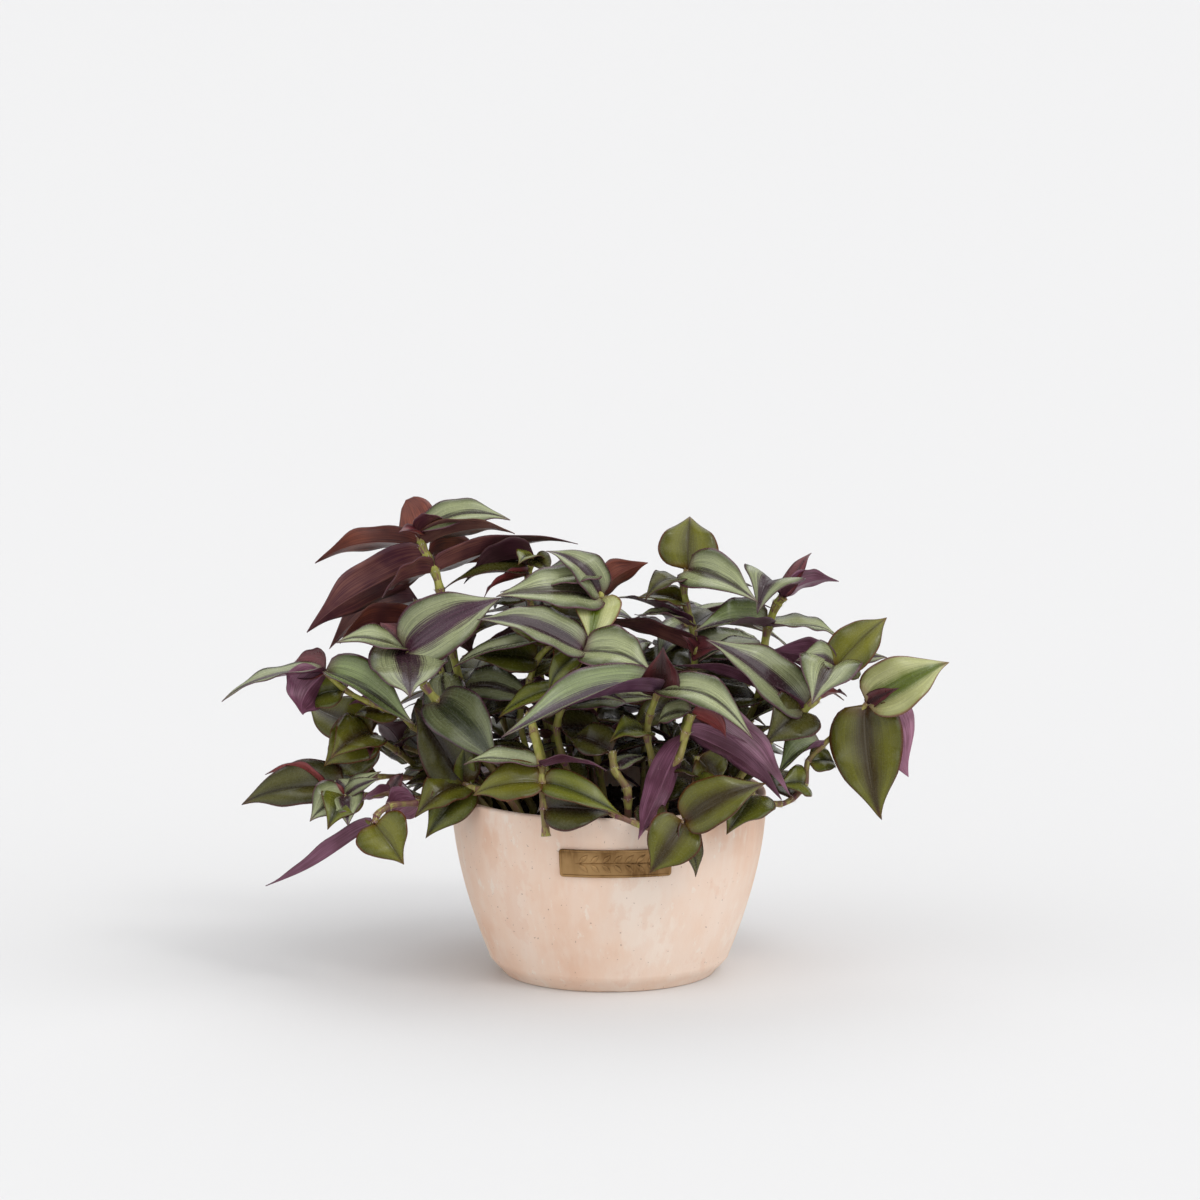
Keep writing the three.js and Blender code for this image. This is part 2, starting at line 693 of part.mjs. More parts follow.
function grow(base, blade, shift, owner) {
  const solid = bladeSolid(base, blade, shift, 0);
  placed.push({ solid, owner, box: solid.boundingBox() });
  return solid;
}

// A leaf at the front that would touch a neighbour gives way: its tip moves towards the eye and then
// away from it, in growing steps, till the whole blade is clear.
const giveWay = [0, 4, -4, 8, -8, 12, -12, 17, -17, 22, -22, 28, -28, 34, -34];

function settledBlade(base, blade, owner) {
  const shiftOf = (step) => blade.give.clone().multiplyScalar(step);
  const step = giveWay.find((size) => isClear(base, blade, shiftOf(size), owner));
  return grow(base, blade, shiftOf(step), owner);
}

// A leaf of the rule is drawn again till it has a clear place, and one that finds none isn't grown.
const drawsForLeaf = 9;

function drawnBlades(base, side, owner) {
  const still = new THREE.Vector3();
  for (let k = 0; k < drawsForLeaf; k++) {
    const blade = drawnLeaf(base, side, owner);
    if (isClear(base, blade, still, owner)) return [grow(base, blade, still, owner)];
  }
  return [];
}

// Shoots and their blades joined to one body, without the crumbs that a join can leave.
const crumb = 0.1;

function joined(solids) {
  const bodies = wasm.Manifold.union(solids).decompose();
  return wasm.Manifold.compose(bodies.filter((body) => body.volume() > crumb));
}

const group = new THREE.Group();
group.add(meshOf("pot", pot, new THREE.MeshStandardMaterial({ color: "#dcc0ab", roughness: 0.9 })));
group.add(meshOf("label_plate", plate, new THREE.MeshStandardMaterial({
  color: "#a8824c",
  roughness: 0.35,
  metalness: 1,
})));
group.add(meshOf("soil", soil, new THREE.MeshStandardMaterial({ color: "#2c231c", roughness: 1 })));

function addShoot(owner, stem, blades, { colour }) {
  const material = new THREE.MeshStandardMaterial({ color: colour, roughness: 0.45 });
  group.add(meshOf(owner.name, joined([stem, ...blades]), material));
}

frontShoots.forEach((owner, k) => {
  const blades = owner.joints.flatMap(({ at, leaves }) => (
    leaves.map((blade) => settledBlade(at, blade, owner))
  ));
  addShoot(owner, stems[k], blades, owner.joints.findLast(({ leaves }) => leaves.length > 0).leaves[0].kind);
});
ruleShoots.forEach((owner, k) => {
  const blades = owner.joints.flatMap(({ at, sides }) => (
    sides.flatMap((side) => drawnBlades(at, side, owner))
  ));
  addShoot(owner, stems[frontShoots.length + k], blades, owner.kindOfLeaf);
});

export default group;
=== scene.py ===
"""A striped tradescantia in a round limewashed clay pot with a small blank brass label plate.

The clay pot, its plate and its soil come first, and then the leafy stems, each with its own leaves.
The shapes are worked out in millimetres and turned to metres where a mesh is made.
"""

import math

import bpy
import numpy as np
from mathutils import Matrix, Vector, noise
from mathutils.bvhtree import BVHTree
from mathutils.kdtree import KDTree


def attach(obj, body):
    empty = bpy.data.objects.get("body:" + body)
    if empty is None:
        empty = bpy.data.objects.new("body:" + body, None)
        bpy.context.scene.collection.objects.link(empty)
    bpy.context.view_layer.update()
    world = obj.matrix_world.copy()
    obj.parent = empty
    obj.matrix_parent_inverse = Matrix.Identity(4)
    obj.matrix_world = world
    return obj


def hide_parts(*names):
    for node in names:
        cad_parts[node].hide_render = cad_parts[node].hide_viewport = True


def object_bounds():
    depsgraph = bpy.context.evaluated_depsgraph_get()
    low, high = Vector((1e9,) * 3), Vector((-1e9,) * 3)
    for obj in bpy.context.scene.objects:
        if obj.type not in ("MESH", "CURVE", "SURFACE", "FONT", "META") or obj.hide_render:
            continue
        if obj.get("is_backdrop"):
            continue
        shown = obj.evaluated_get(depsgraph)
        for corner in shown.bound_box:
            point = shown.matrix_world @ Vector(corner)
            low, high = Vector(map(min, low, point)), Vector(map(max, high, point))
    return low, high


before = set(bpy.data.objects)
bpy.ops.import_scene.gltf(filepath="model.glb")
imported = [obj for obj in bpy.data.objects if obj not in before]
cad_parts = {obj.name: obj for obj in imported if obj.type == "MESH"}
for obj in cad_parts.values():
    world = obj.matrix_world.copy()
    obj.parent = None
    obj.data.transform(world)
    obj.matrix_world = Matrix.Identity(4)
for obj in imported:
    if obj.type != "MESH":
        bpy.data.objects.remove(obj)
solid_box = [list(corner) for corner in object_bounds()]
bpy.ops.object.select_all(action="DESELECT")

# ---- Camera, floor and light ----
# The eye stands in front of the pot and a little above its rim, and looks slightly down. The floor
# is one pale sheet. A broad soft light comes from the right, and weaker ones from left and behind.

mm = 0.001
eye = np.array([-4.5, -2327.0, 535.0])
look_down = math.radians(8.5)

bpy.ops.object.camera_add(location=eye * mm, rotation=(math.pi / 2 - look_down, 0, 0))
camera = bpy.context.object
camera.data.sensor_width = 36
camera.data.lens = 142
camera.data.clip_end = 200
bpy.context.scene.camera = camera
bpy.context.scene.view_settings.view_transform = "Standard"


def new_material(name, roughness, metallic=0.0):
    made = bpy.data.materials.new(name)
    made.use_nodes = True
    surface = made.node_tree.nodes["Principled BSDF"]
    surface.inputs["Roughness"].default_value = roughness
    surface.inputs["Metallic"].default_value = metallic
    surface.inputs["Specular IOR Level"].default_value = 0.36
    return made, made.node_tree, surface


def paint(code, alpha=1.0):
    """A colour from its #rrggbb code, as light."""
    shades = [int(code[k : k + 2], 16) / 255 for k in (1, 3, 5)]
    return [s / 12.92 if s <= 0.04045 else ((s + 0.055) / 1.055) ** 2.4 for s in shades] + [alpha]


class Wiring:
    """The nodes of one material, each added and joined in one call."""

    def __init__(self, tree):
        self.tree = tree

    def add(self, kind, values=None, **joined):
        node = self.tree.nodes.new("ShaderNode" + kind)
        for name, value in (values or {}).items():
            setattr(node, name, value)
        for socket, source in joined.items():
            self.join(node.inputs[socket], source)
        return node

    def join(self, target, source):
        if hasattr(source, "links"):
            self.tree.links.new(source, target)
        else:
            target.default_value = source

    def math(self, operation, *sources):
        node = self.add("Math", {"operation": operation})
        for k, source in enumerate(sources):
            self.join(node.inputs[k], source)
        return node.outputs[0]

    def mix(self, share, first, second, blend="MIX"):
        node = self.add("Mix", {"data_type": "RGBA", "blend_type": blend, "clamp_factor": True})
        self.join(node.inputs[0], share)
        self.join(node.inputs[6], first)
        self.join(node.inputs[7], second)
        return node.outputs[2]

    def ramp(self, source, stops):
        node = self.add("ValToRGB")
        elements = node.color_ramp.elements
        while len(elements) < len(stops):
            elements.new(1)
        for element, (position, colour) in zip(elements, stops):
            element.position = position
            element.color = colour if len(colour) == 4 else [*colour, 1]
        self.join(node.inputs[0], source)
        return node.outputs[0]

    def between(self, source, low, high, start=0.0, end=1.0):
        node = self.add("MapRange", {"interpolation_type": "SMOOTHSTEP"})
        for k, value in enumerate((source, low, high, start, end)):
            self.join(node.inputs[k], value)
        return node.outputs[0]

    def mottle(self, place, scale, stretch=(1, 1, 1), detail=3.0, roughness=0.55):
        """Cloudy values from 0 to 1 on a place, stretched along its axes."""
        mapping = self.add("Mapping", Vector=place)
        mapping.inputs["Scale"].default_value = stretch
        texture = self.add("TexNoise", Vector=mapping.outputs[0])
        texture.inputs["Scale"].default_value = scale
        texture.inputs["Detail"].default_value = detail
        texture.inputs["Roughness"].default_value = roughness
        return texture.outputs[0]

    def bump(self, height, strength, distance, under=None):
        node = self.add("Bump", Height=height)
        node.inputs["Strength"].default_value = strength
        node.inputs["Distance"].default_value = distance
        if under is not None:
            self.join(node.inputs["Normal"], under)
        return node.outputs[0]


bpy.ops.mesh.primitive_plane_add(size=90)
floor = bpy.context.object
floor.name = "floor"
floor_paint, _, floor_surface = new_material("floor_paint", 0.9)
floor_surface.inputs["Base Color"].default_value = paint("#dedede")
floor_surface.inputs["Specular IOR Level"].default_value = 0.1
floor.data.materials.append(floor_paint)
floor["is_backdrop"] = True

# Each opening has its way from the plant, the cosines of the angles off that way at which its light
# starts and is full, and its strength. The walls between them glow a little.
openings = [
    (Vector((0.62, -0.38, 0.69)), 0.68, 0.9, 1.6),
    (Vector((-0.05, 0.5, 0.86)), 0.84, 0.95, 1.3),
    (Vector((-0.76, -0.56, 0.33)), 0.5, 0.95, 0.95),
]
room_glow = 0.35
world = bpy.data.worlds.new("room")
world.use_nodes = True
room = Wiring(world.node_tree)
way = room.add("TexCoord").outputs["Generated"]
glow = room_glow
for opening_way, rim, full, strength in openings:
    towards = room.add("VectorMath", {"operation": "DOT_PRODUCT"})
    room.join(towards.inputs[0], way)
    towards.inputs[1].default_value = opening_way
    patch = room.between(towards.outputs["Value"], rim, full, 0.0, strength)
    glow = room.math("ADD", patch, glow)
background = world.node_tree.nodes["Background"]
background.inputs["Color"].default_value = paint("#fdfdfe")
room.join(background.inputs["Strength"], glow)
bpy.context.scene.world = world


# A lamp so far off that its light is even all over the floor, wide enough for soft shadows.
def far_light(name, place, wide, strength, code):
    bpy.ops.object.light_add(type="SUN", location=place)
    light = bpy.context.object
    light.name = name
    light.data.angle = math.radians(wide)
    light.data.energy = strength
    light.data.color = paint(code)[:3]
    light.rotation_euler = Vector(place).to_track_quat("Z", "Y").to_euler()


far_light("window", (0.9, -1.1, 1.5), 12, 0.32, "#fffefb")
far_light("back_glow", (0.4, 1.6, 1.1), 34, 0.18, "#ffffff")

# ---- Pot ----
# One thick-walled pot of pale pink clay, thrown round, with a swelling wall and a soft rim. It has
# drain holes in its floor and a small nick in its foot, and a brushed limewash on the outside.

rim_radius = 78.5
pot_height = 91.7
foot_radius = 53.5
chamfer_top = 9.2
shoulder_height = 84
wall_swell = 22
swell_power = 1.66
wall_thickness = 4.1
floor_thickness = 6
rim_rounding = 0.9
drain_radius = 4.5
drain_ring = 27
drain_bearings = [30, 150, 270]
soil_top = 79


def wall_radius(height):
    below = max(0, 1 - height / shoulder_height)
    return rim_radius - wall_swell * below**swell_power


def activate(piece):
    bpy.ops.object.select_all(action="DESELECT")
    piece.select_set(True)
    bpy.context.view_layer.objects.active = piece


def apply_modifier(piece, kind, **settings):
    activate(piece)
    bpy.ops.object.modifier_add(type=kind)
    modifier = piece.modifiers[-1]
    for name, value in settings.items():
        setattr(modifier, name, value)
    bpy.ops.object.modifier_apply(modifier=modifier.name)


def thrown(name, rings, sides):
    """A closed round body, drawn up ring by ring from [radius, height] pairs in millimetres."""
    (first, low), *others = rings
    bpy.ops.mesh.primitive_circle_add(vertices=sides, radius=first * mm, location=(0, 0, low * mm))
    piece = bpy.context.object
    piece.name = name
    bpy.ops.object.transform_apply(location=True)
    bpy.ops.object.mode_set(mode="EDIT")
    bpy.ops.mesh.edge_face_add()
    bpy.ops.mesh.select_mode(type="EDGE")
    radius, height = first, low
    for wider, higher in others:
        bpy.ops.mesh.extrude_region_move(
            TRANSFORM_OT_translate={"value": (0, 0, (higher - height) * mm)}
        )
        share = wider / radius
        bpy.ops.transform.resize(value=(share, share, 1), center_override=(0, 0, higher * mm))
        radius, height = wider, higher
    bpy.ops.mesh.select_all(action="SELECT")
    bpy.ops.mesh.normals_make_consistent(inside=False)
    bpy.ops.object.mode_set(mode="OBJECT")
    return piece


rim_turn = [k * math.pi / 10 for k in range(11)]
rim_middle = rim_radius - wall_thickness / 2
outside = [
    [wall_radius(z), z] for z in np.linspace(chamfer_top, pot_height - 2 * rim_rounding, 34)
]
rim = [
    [
        rim_middle + wall_thickness / 2 * math.copysign(abs(math.cos(a)) ** 0.55, math.cos(a)),
        pot_height - 2 * rim_rounding * (1 - math.sin(a) ** 0.8),
    ]
    for a in rim_turn
]
inside = [
    [wall_radius(z) - wall_thickness, z]
    for z in np.linspace(pot_height - 2 * rim_rounding, 2 * floor_thickness, 24)
]
pot = thrown(
    "limewashed_pot",
    [
        [6, 0],
        [foot_radius - 7, 0],
        [foot_radius - 1.2, 0],
        [foot_radius - 0.4, 0.25],
        [foot_radius + 0.1, 0.9],
        [foot_radius + 0.9, 2.4],
        [(foot_radius + wall_radius(chamfer_top)) / 2 + 0.25, chamfer_top / 2 + 0.1],
        [wall_radius(chamfer_top) - 0.25, chamfer_top - 1],
        *outside,
        *rim[1:-1],
        *inside,
        [foot_radius - wall_thickness, floor_thickness],
        [6, floor_thickness],
    ],
    160,
)
cutters = []
for bearing in drain_bearings:
    turn = math.radians(bearing)
    place = (drain_ring * math.cos(turn) * mm, drain_ring * math.sin(turn) * mm, 0)
    bpy.ops.mesh.primitive_cylinder_add(
        vertices=40, radius=drain_radius * mm, depth=4 * floor_thickness * mm, location=place
    )
    cutters.append(bpy.context.object)
bpy.ops.mesh.primitive_cube_add(size=1, location=(0, -foot_radius * mm, 0))
bpy.context.object.scale = (8 * mm, 3 * mm, 1.6 * mm)
bpy.ops.object.transform_apply(location=True, scale=True)
cutters.append(bpy.context.object)
for cutter in cutters:
    apply_modifier(pot, "BOOLEAN", operation="DIFFERENCE", object=cutter, solver="EXACT")
    bpy.data.objects.remove(cutter)
activate(pot)
bpy.ops.object.shade_smooth_by_angle(angle=math.radians(38))


limewash, tree, surface = new_material("limewash_on_clay", 0.86)
wiring = Wiring(tree)
place = wiring.add("TexCoord").outputs["Object"]
clouds = wiring.mottle(place, 16, detail=4)
brushing = wiring.mottle(place, 260, (1, 1, 0.07), detail=3)
drips = wiring.mottle(place, 75, (1, 1, 0.16), detail=5)
flakes = wiring.mottle(place, 150, (1, 1, 0.55), detail=6, roughness=0.65)
clay = wiring.ramp(clouds, [(0.32, paint("#e4bfa6")), (0.5, paint("#ebcfba")), (0.7, paint("#edd8c8"))])
chalk = wiring.math("ADD", wiring.math("MULTIPLY", drips, 0.7), wiring.math("MULTIPLY", clouds, 0.45))
chalk = wiring.between(chalk, 0.48, 0.72)
brushed = wiring.mix(wiring.math("MULTIPLY", chalk, 0.5), clay, paint("#eedccd"))
strokes = wiring.between(brushing, 0.46, 0.7)
brushed = wiring.mix(wiring.math("MULTIPLY", strokes, 0.16), brushed, paint("#f0e4d8"))
patches = wiring.between(wiring.mottle(place, 40, (1, 1, 0.4), detail=5, roughness=0.6), 0.56, 0.64)
brushed = wiring.mix(wiring.math("MULTIPLY", patches, 0.55), brushed, paint("#f1e3d5"))
bare = wiring.between(wiring.mottle(place, 33, (1, 1, 0.7), detail=6, roughness=0.62), 0.585, 0.635)
brushed = wiring.mix(wiring.math("MULTIPLY", bare, 0.2), brushed, paint("#dda988"))
worn = wiring.between(flakes, 0.6, 0.68)
brushed = wiring.mix(wiring.math("MULTIPLY", worn, 0.6), brushed, paint("#efe3d6"))
pits = wiring.between(wiring.mottle(place, 620, detail=1), 0.735, 0.77)
brushed = wiring.mix(wiring.math("MULTIPLY", pits, 0.5), brushed, paint("#8d6a58"))
wiring.join(surface.inputs["Base Color"], brushed)
grain = wiring.bump(wiring.mottle(place, 900, (1, 1, 0.3), detail=2), 0.22, 0.0003)
skin = wiring.bump(flakes, 0.3, 0.0006, grain)
wiring.join(surface.inputs["Normal"], skin)
surface.inputs["Specular IOR Level"].default_value = 0.3
pot.data.materials.clear()
pot.data.materials.append(limewash)
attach(pot, "root")
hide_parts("pot")

# ---- Label plate ----
# A thin brass plate with round corners, bent to the wall and glued on. It has a raised border and a
# plain leafy sprig along its middle. The brass is brushed up and down and has darkened in the ground.

plate_width = 56
plate_height = 14
plate_thickness = 1.1
plate_corner = 1.6
plate_middle = 69.5
plate_turn = math.radians(2.4)
plate_gap = 0.35
border_width = 0.9
border_depth = 0.35
bend_cuts = 40

bpy.ops.mesh.primitive_plane_add(size=1)
plate = bpy.context.object
plate.name = "brass_plate"
plate.scale = (plate_width * mm, plate_height * mm, 1)
bpy.ops.object.transform_apply(scale=True)
bpy.ops.object.mode_set(mode="EDIT")
bpy.ops.mesh.bevel(offset=plate_corner * mm, segments=6, affect="VERTICES")
bpy.ops.mesh.select_all(action="SELECT")
bpy.ops.mesh.extrude_region_move(
    TRANSFORM_OT_translate={"value": (0, 0, (plate_thickness - 0.25) * mm)}
)
bpy.ops.mesh.inset(thickness=0.25 * mm, depth=0.25 * mm)
bpy.ops.mesh.inset(thickness=border_width * mm, depth=0)
bpy.ops.mesh.inset(thickness=0.25 * mm, depth=-border_depth * mm)
bpy.ops.object.mode_set(mode="OBJECT")
for face in plate.data.polygons:
    face.material_index = 0
ground_height = (plate_thickness - border_depth) * mm
for face in plate.data.polygons:
    inner = all(abs(plate.data.vertices[v].co.z - ground_height) < 0.02 * mm for v in face.vertices)
    face.material_index = 1 if inner else 0


def relief(name, length, width, thickness, place, turn):
    """One pointed leaf of the sprig, as a flattened ball."""
    bpy.ops.mesh.primitive_uv_sphere_add(segments=16, ring_count=10, radius=1)
    piece = bpy.context.object
    piece.name = name
    for vertex in piece.data.vertices:
        vertex.co.y *= (1 - abs(vertex.co.x)) ** 0.35 if abs(vertex.co.x) < 1 else 0
    piece.scale = (length / 2 * mm, width / 2 * mm, thickness * mm)
    piece.rotation_euler.z = turn
    piece.location = (place[0] * mm, place[1] * mm, ground_height)
    bpy.ops.object.transform_apply(location=True, rotation=True, scale=True)
    return piece


sprig = []
sprig_half = 20.5
sprig.append(relief("sprig_stalk", 2 * sprig_half, 1.1, 0.5, (0, 0), 0))
for k in range(7):
    across = -sprig_half + 3 + 5.6 * k
    for side in (-1, 1):
        turn = side * math.radians(44)
        place = (across + 2.2 * math.cos(turn), 2.4 * side)
        sprig.append(relief(f"sprig_leaf_{k}_{side + 1}", 6.2, 2.5, 0.6, place, turn))
sprig.append(relief("sprig_end", 5.6, 2.4, 0.6, (sprig_half + 1.4, 0), 0))
activate(plate)
for piece in sprig:
    piece.data.materials.clear()
    piece.select_set(True)
bpy.ops.object.join()
bpy.ops.object.mode_set(mode="EDIT")
for k in range(1, bend_cuts):
    bpy.ops.mesh.select_all(action="SELECT")
    cut = (k / bend_cuts - 0.5) * plate_width * mm
    bpy.ops.mesh.bisect(plane_co=(cut, 0, 0), plane_no=(1, 0, 0))
bpy.ops.object.mode_set(mode="OBJECT")
for vertex in plate.data.vertices:
    x, y, z = vertex.co / mm
    height = plate_middle + y
    turn = plate_turn + x / rim_radius
    radius = wall_radius(height) + plate_gap + z
    vertex.co = Vector((radius * math.sin(turn), -radius * math.cos(turn), height)) * mm
bpy.ops.object.shade_smooth_by_angle(angle=math.radians(32))


def brass(name, bright, dark, roughness):
    made, tree, surface = new_material(name, roughness, 1.0)
    wiring = Wiring(tree)
    place = wiring.add("TexCoord").outputs["Object"]
    strokes = wiring.mottle(place, 900, (1, 1, 0.05), detail=2)
    clouds = wiring.mottle(place, 55, detail=3)
    tone = wiring.mix(wiring.between(clouds, 0.35, 0.7), paint(dark), paint(bright))
    tone = wiring.mix(wiring.between(strokes, 0.4, 0.75, 0, 0.5), tone, paint(bright))
    wiring.join(surface.inputs["Base Color"], tone)
    wiring.join(surface.inputs["Roughness"], wiring.between(strokes, 0.3, 0.8, roughness, roughness + 0.2))
    wiring.join(surface.inputs["Normal"], wiring.bump(strokes, 0.25, 0.0001))
    return made


plate.data.materials.clear()
plate.data.materials.append(brass("brushed_brass", "#ac8a5e", "#6f5130", 0.34))
plate.data.materials.append(brass("darkened_brass", "#6b4f2f", "#3c2a19", 0.5))
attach(plate, "root")
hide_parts("label_plate")

# ---- Soil ----
# Dark moist potting mix with a lumpy top, a finger's width under the rim, and crumbs lying on it.

soil_gap = 0.35
soil_edge = wall_radius(soil_top) - wall_thickness - soil_gap
top_rings = [[max(r, 0.5), soil_top] for r in np.linspace(soil_edge, 0, 34)]
side_rings = [
    [wall_radius(z) - wall_thickness - soil_gap, z]
    for z in np.linspace(2 * floor_thickness, soil_top, 12)[:-1]
]
soil = thrown(
    "potting_mix",
    [
        [2, floor_thickness + soil_gap],
        [foot_radius - wall_thickness - 1.5, floor_thickness + soil_gap],
        *side_rings,
        *top_rings,
    ],
    120,
)
for vertex in soil.data.vertices:
    place = vertex.co / mm
    if place.z > soil_top - 0.01 and math.hypot(place.x, place.y) < soil_edge - 1:
        lump = noise.noise(place / 9) * 1.1 + noise.noise(place / 3.4) * 0.7
        vertex.co.z += lump * mm
rng = np.random.default_rng(7)
crumb_count = 420
crumbs = []
for k in range(crumb_count):
    turn, out = rng.uniform(0, 2 * math.pi), soil_edge * math.sqrt(rng.uniform(0, 0.93))
    size = rng.uniform(0.5, 1.9)
    spot = (out * math.cos(turn) * mm, out * math.sin(turn) * mm, (soil_top + 0.35 * size) * mm)
    bpy.ops.mesh.primitive_ico_sphere_add(subdivisions=1, radius=size * mm, location=spot)
    crumb = bpy.context.object
    crumb.scale = rng.uniform(0.6, 1.3, 3)
    crumb.rotation_euler = rng.uniform(0, 3, 3)
    crumbs.append(crumb)
activate(soil)
for crumb in crumbs:
    crumb.select_set(True)
bpy.ops.object.join()
bpy.ops.object.shade_smooth_by_angle(angle=math.radians(50))
mix, tree, surface = new_material("moist_potting_mix", 0.93)
wiring = Wiring(tree)
place = wiring.add("TexCoord").outputs["Object"]
crumbly = wiring.mottle(place, 420, detail=6, roughness=0.7)
tone = wiring.ramp(crumbly, [(0.3, paint("#120c08")), (0.55, paint("#2a1d14")), (0.72, paint("#4b3626"))])
wiring.join(surface.inputs["Base Color"], tone)
wiring.join(surface.inputs["Normal"], wiring.bump(crumbly, 0.7, 0.0012))
soil.data.materials.clear()
soil.data.materials.append(mix)
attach(soil, "root")
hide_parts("soil")

# ---- The front view that the shoots are placed in ----
# On a sheet at the pot's distance, square to the camera's look, a place is given by how far it is
# across from the pot's axis and up from the pot's foot. A third number says how far it is forward.

sheet_distance = 2367
sheet_middle_up = 184


def seen(across, up, forward):
    """The point on the sight line through a place in the front view, in millimetres."""
    rise = up - sheet_middle_up
    ray = np.array(
        [
            across - eye[0],
            sheet_distance * math.cos(look_down) + rise * math.sin(look_down),
            rise * math.cos(look_down) - sheet_distance * math.sin(look_down),
        ]
    )
    return ray * ((-forward - eye[1]) / ray[1]) + eye


# ---- Leaf and stem finishes ----
# The upper face has two bands, silvery or a fainter green, beside a darker middle, and a thin reddish
# margin, and the underside is purple to brown. Both show fine veins. Fine pale specks on the upper
# face are painted glints. A leaf's own tone, from -1 to 1, makes it lighter or darker, and its stripes
# wider or fainter.

stripe_blur = 0.24
stripe_shift = 0.15
tip_narrowing = 0.1
painted_glint_share = 0.03
margin_share = 0.85
end_share = 0.6
rib_share = 0.6
tone_light = 0.22


def leaf_finish(name, band, ground, middle, margin, gloss, stripe, ragged=0.46, veined=0.36, sheen=0.46):
    """The upper face of a kind of leaf. The UV map runs across the blade and along it. stripe says
    where, from midrib to margin, the middle ends, the band starts and ends, and the ground starts.
    ragged is how torn the stripes' edges are, and veined how strongly the veins show."""
    made, tree, surface = new_material(name, gloss)
    wiring = Wiring(tree)
    flat = wiring.add("TexCoord").outputs["UV"]
    place = wiring.add("TexCoord").outputs["Object"]
    parts = wiring.add("SeparateXYZ", Vector=flat)
    tone = wiring.add("Attribute", {"attribute_name": "tone"}).outputs["Fac"]
    streaks = wiring.mottle(flat, 1, (70, 2.2, 1), detail=3)
    blur = wiring.mottle(place, 75, detail=2)
    side = wiring.math("ABSOLUTE", wiring.math("MULTIPLY_ADD", parts.outputs[0], 2.0, -1.0))
    shifted = wiring.math("ADD", side, wiring.math("MULTIPLY_ADD", blur, stripe_blur, -stripe_blur / 2))
    shifted = wiring.math("ADD", shifted, wiring.math("MULTIPLY", tone, stripe_shift))
    narrowing = wiring.math("MULTIPLY", wiring.between(parts.outputs[1], 0.45, 0.95), tip_narrowing)
    shifted = wiring.math("SUBTRACT", shifted, narrowing)
    torn = wiring.math("ADD", shifted, wiring.math("MULTIPLY_ADD", streaks, ragged, -ragged / 2))
    middle_ends, band_starts, band_ends, ground_starts = stripe
    stripes = wiring.ramp(
        torn,
        [
            (0.0, paint(middle)),
            (middle_ends, paint(middle)),
            (band_starts, paint(band)),
            (band_ends, paint(band)),
            (ground_starts, paint(ground)),
        ],
    )
    faint = wiring.ramp(
        torn,
        [
            (middle_ends, paint(ground)),
            (band_starts, paint(band)),
            (band_ends, paint(band)),
            (1.0, paint(ground)),
        ],
    )
    stripes = wiring.mix(wiring.between(tone, -0.2, 0.5, 0.0, 0.75), stripes, faint)
    # Painted glints: fine pale specks over the upper face stand in for the sparkle of its silvery cells.
    painted_glints = wiring.between(wiring.mottle(place, 2600, detail=0), 0.45, 0.75)
    stripes = wiring.mix(wiring.math("MULTIPLY", painted_glints, painted_glint_share), stripes, paint("#e6ead2"))
    edge = wiring.between(side, 0.9, 0.98, 0.0, margin_share)
    colour = wiring.mix(edge, stripes, paint(margin))
    tip = wiring.between(parts.outputs[1], 0.84, 1.0)
    colour = wiring.mix(wiring.math("MULTIPLY", tip, end_share), colour, paint(margin))
    root = wiring.between(parts.outputs[1], 0.15, 0.0)
    colour = wiring.mix(wiring.math("MULTIPLY", root, end_share), colour, paint(margin))
    rib = wiring.between(side, 0.04, 0.0)
    colour = wiring.mix(wiring.math("MULTIPLY", rib, rib_share), colour, paint(middle))
    light = wiring.between(streaks, 0.3, 0.7, 1 - veined, 1 + 0.9 * veined)
    light = wiring.math("MULTIPLY", light, wiring.math("MULTIPLY_ADD", tone, tone_light, 1.0))
    grey = wiring.add("CombineColor", Red=light, Green=light, Blue=light).outputs[0]
    wiring.join(surface.inputs["Base Color"], wiring.mix(1.0, colour, grey, "MULTIPLY"))
    shine = wiring.mottle(place, 700, detail=1)
    wiring.join(surface.inputs["Roughness"], wiring.between(shine, 0.3, 0.7, gloss - 0.07, gloss + 0.1))
    surface.inputs["Specular IOR Level"].default_value = sheen
    veins = wiring.bump(streaks, 0.7 * veined, 0.0004)
    wiring.join(surface.inputs["Normal"], wiring.bump(wiring.between(side, 0.0, 0.07), 0.5, 0.0005, veins))
    return made


def under_finish(name, deep, pale, gloss=0.38):
    """The underside of a kind of leaf."""
    made, tree, surface = new_material(name, gloss)
    wiring = Wiring(tree)
    flat = wiring.add("TexCoord").outputs["UV"]
    place = wiring.add("TexCoord").outputs["Object"]
    parts = wiring.add("SeparateXYZ", Vector=flat)
    tone = wiring.add("Attribute", {"attribute_name": "tone"}).outputs["Fac"]
    streaks = wiring.mottle(flat, 1, (70, 2.4, 1), detail=3)
    blur = wiring.mottle(place, 60, detail=2)
    side = wiring.math("ABSOLUTE", wiring.math("MULTIPLY_ADD", parts.outputs[0], 2.0, -1.0))
    share = wiring.math("ADD", wiring.math("MULTIPLY", streaks, 0.7), wiring.math("MULTIPLY", blur, 0.5))
    colour = wiring.mix(wiring.between(share, 0.46, 0.82), paint(deep), paint(pale))
    rib = wiring.between(side, 0.06, 0.0)
    colour = wiring.mix(wiring.math("MULTIPLY", rib, rib_share), colour, paint(pale))
    light = wiring.math("MULTIPLY_ADD", tone, tone_light, 1.0)
    grey = wiring.add("CombineColor", Red=light, Green=light, Blue=light).outputs[0]
    wiring.join(surface.inputs["Base Color"], wiring.mix(1.0, colour, grey, "MULTIPLY"))
    veins = wiring.bump(streaks, 0.25, 0.0004)
    keel = wiring.between(side, 0.0, 0.08, 1, 0)
    wiring.join(surface.inputs["Normal"], wiring.bump(keel, 0.5, 0.0006, veins))
    return made


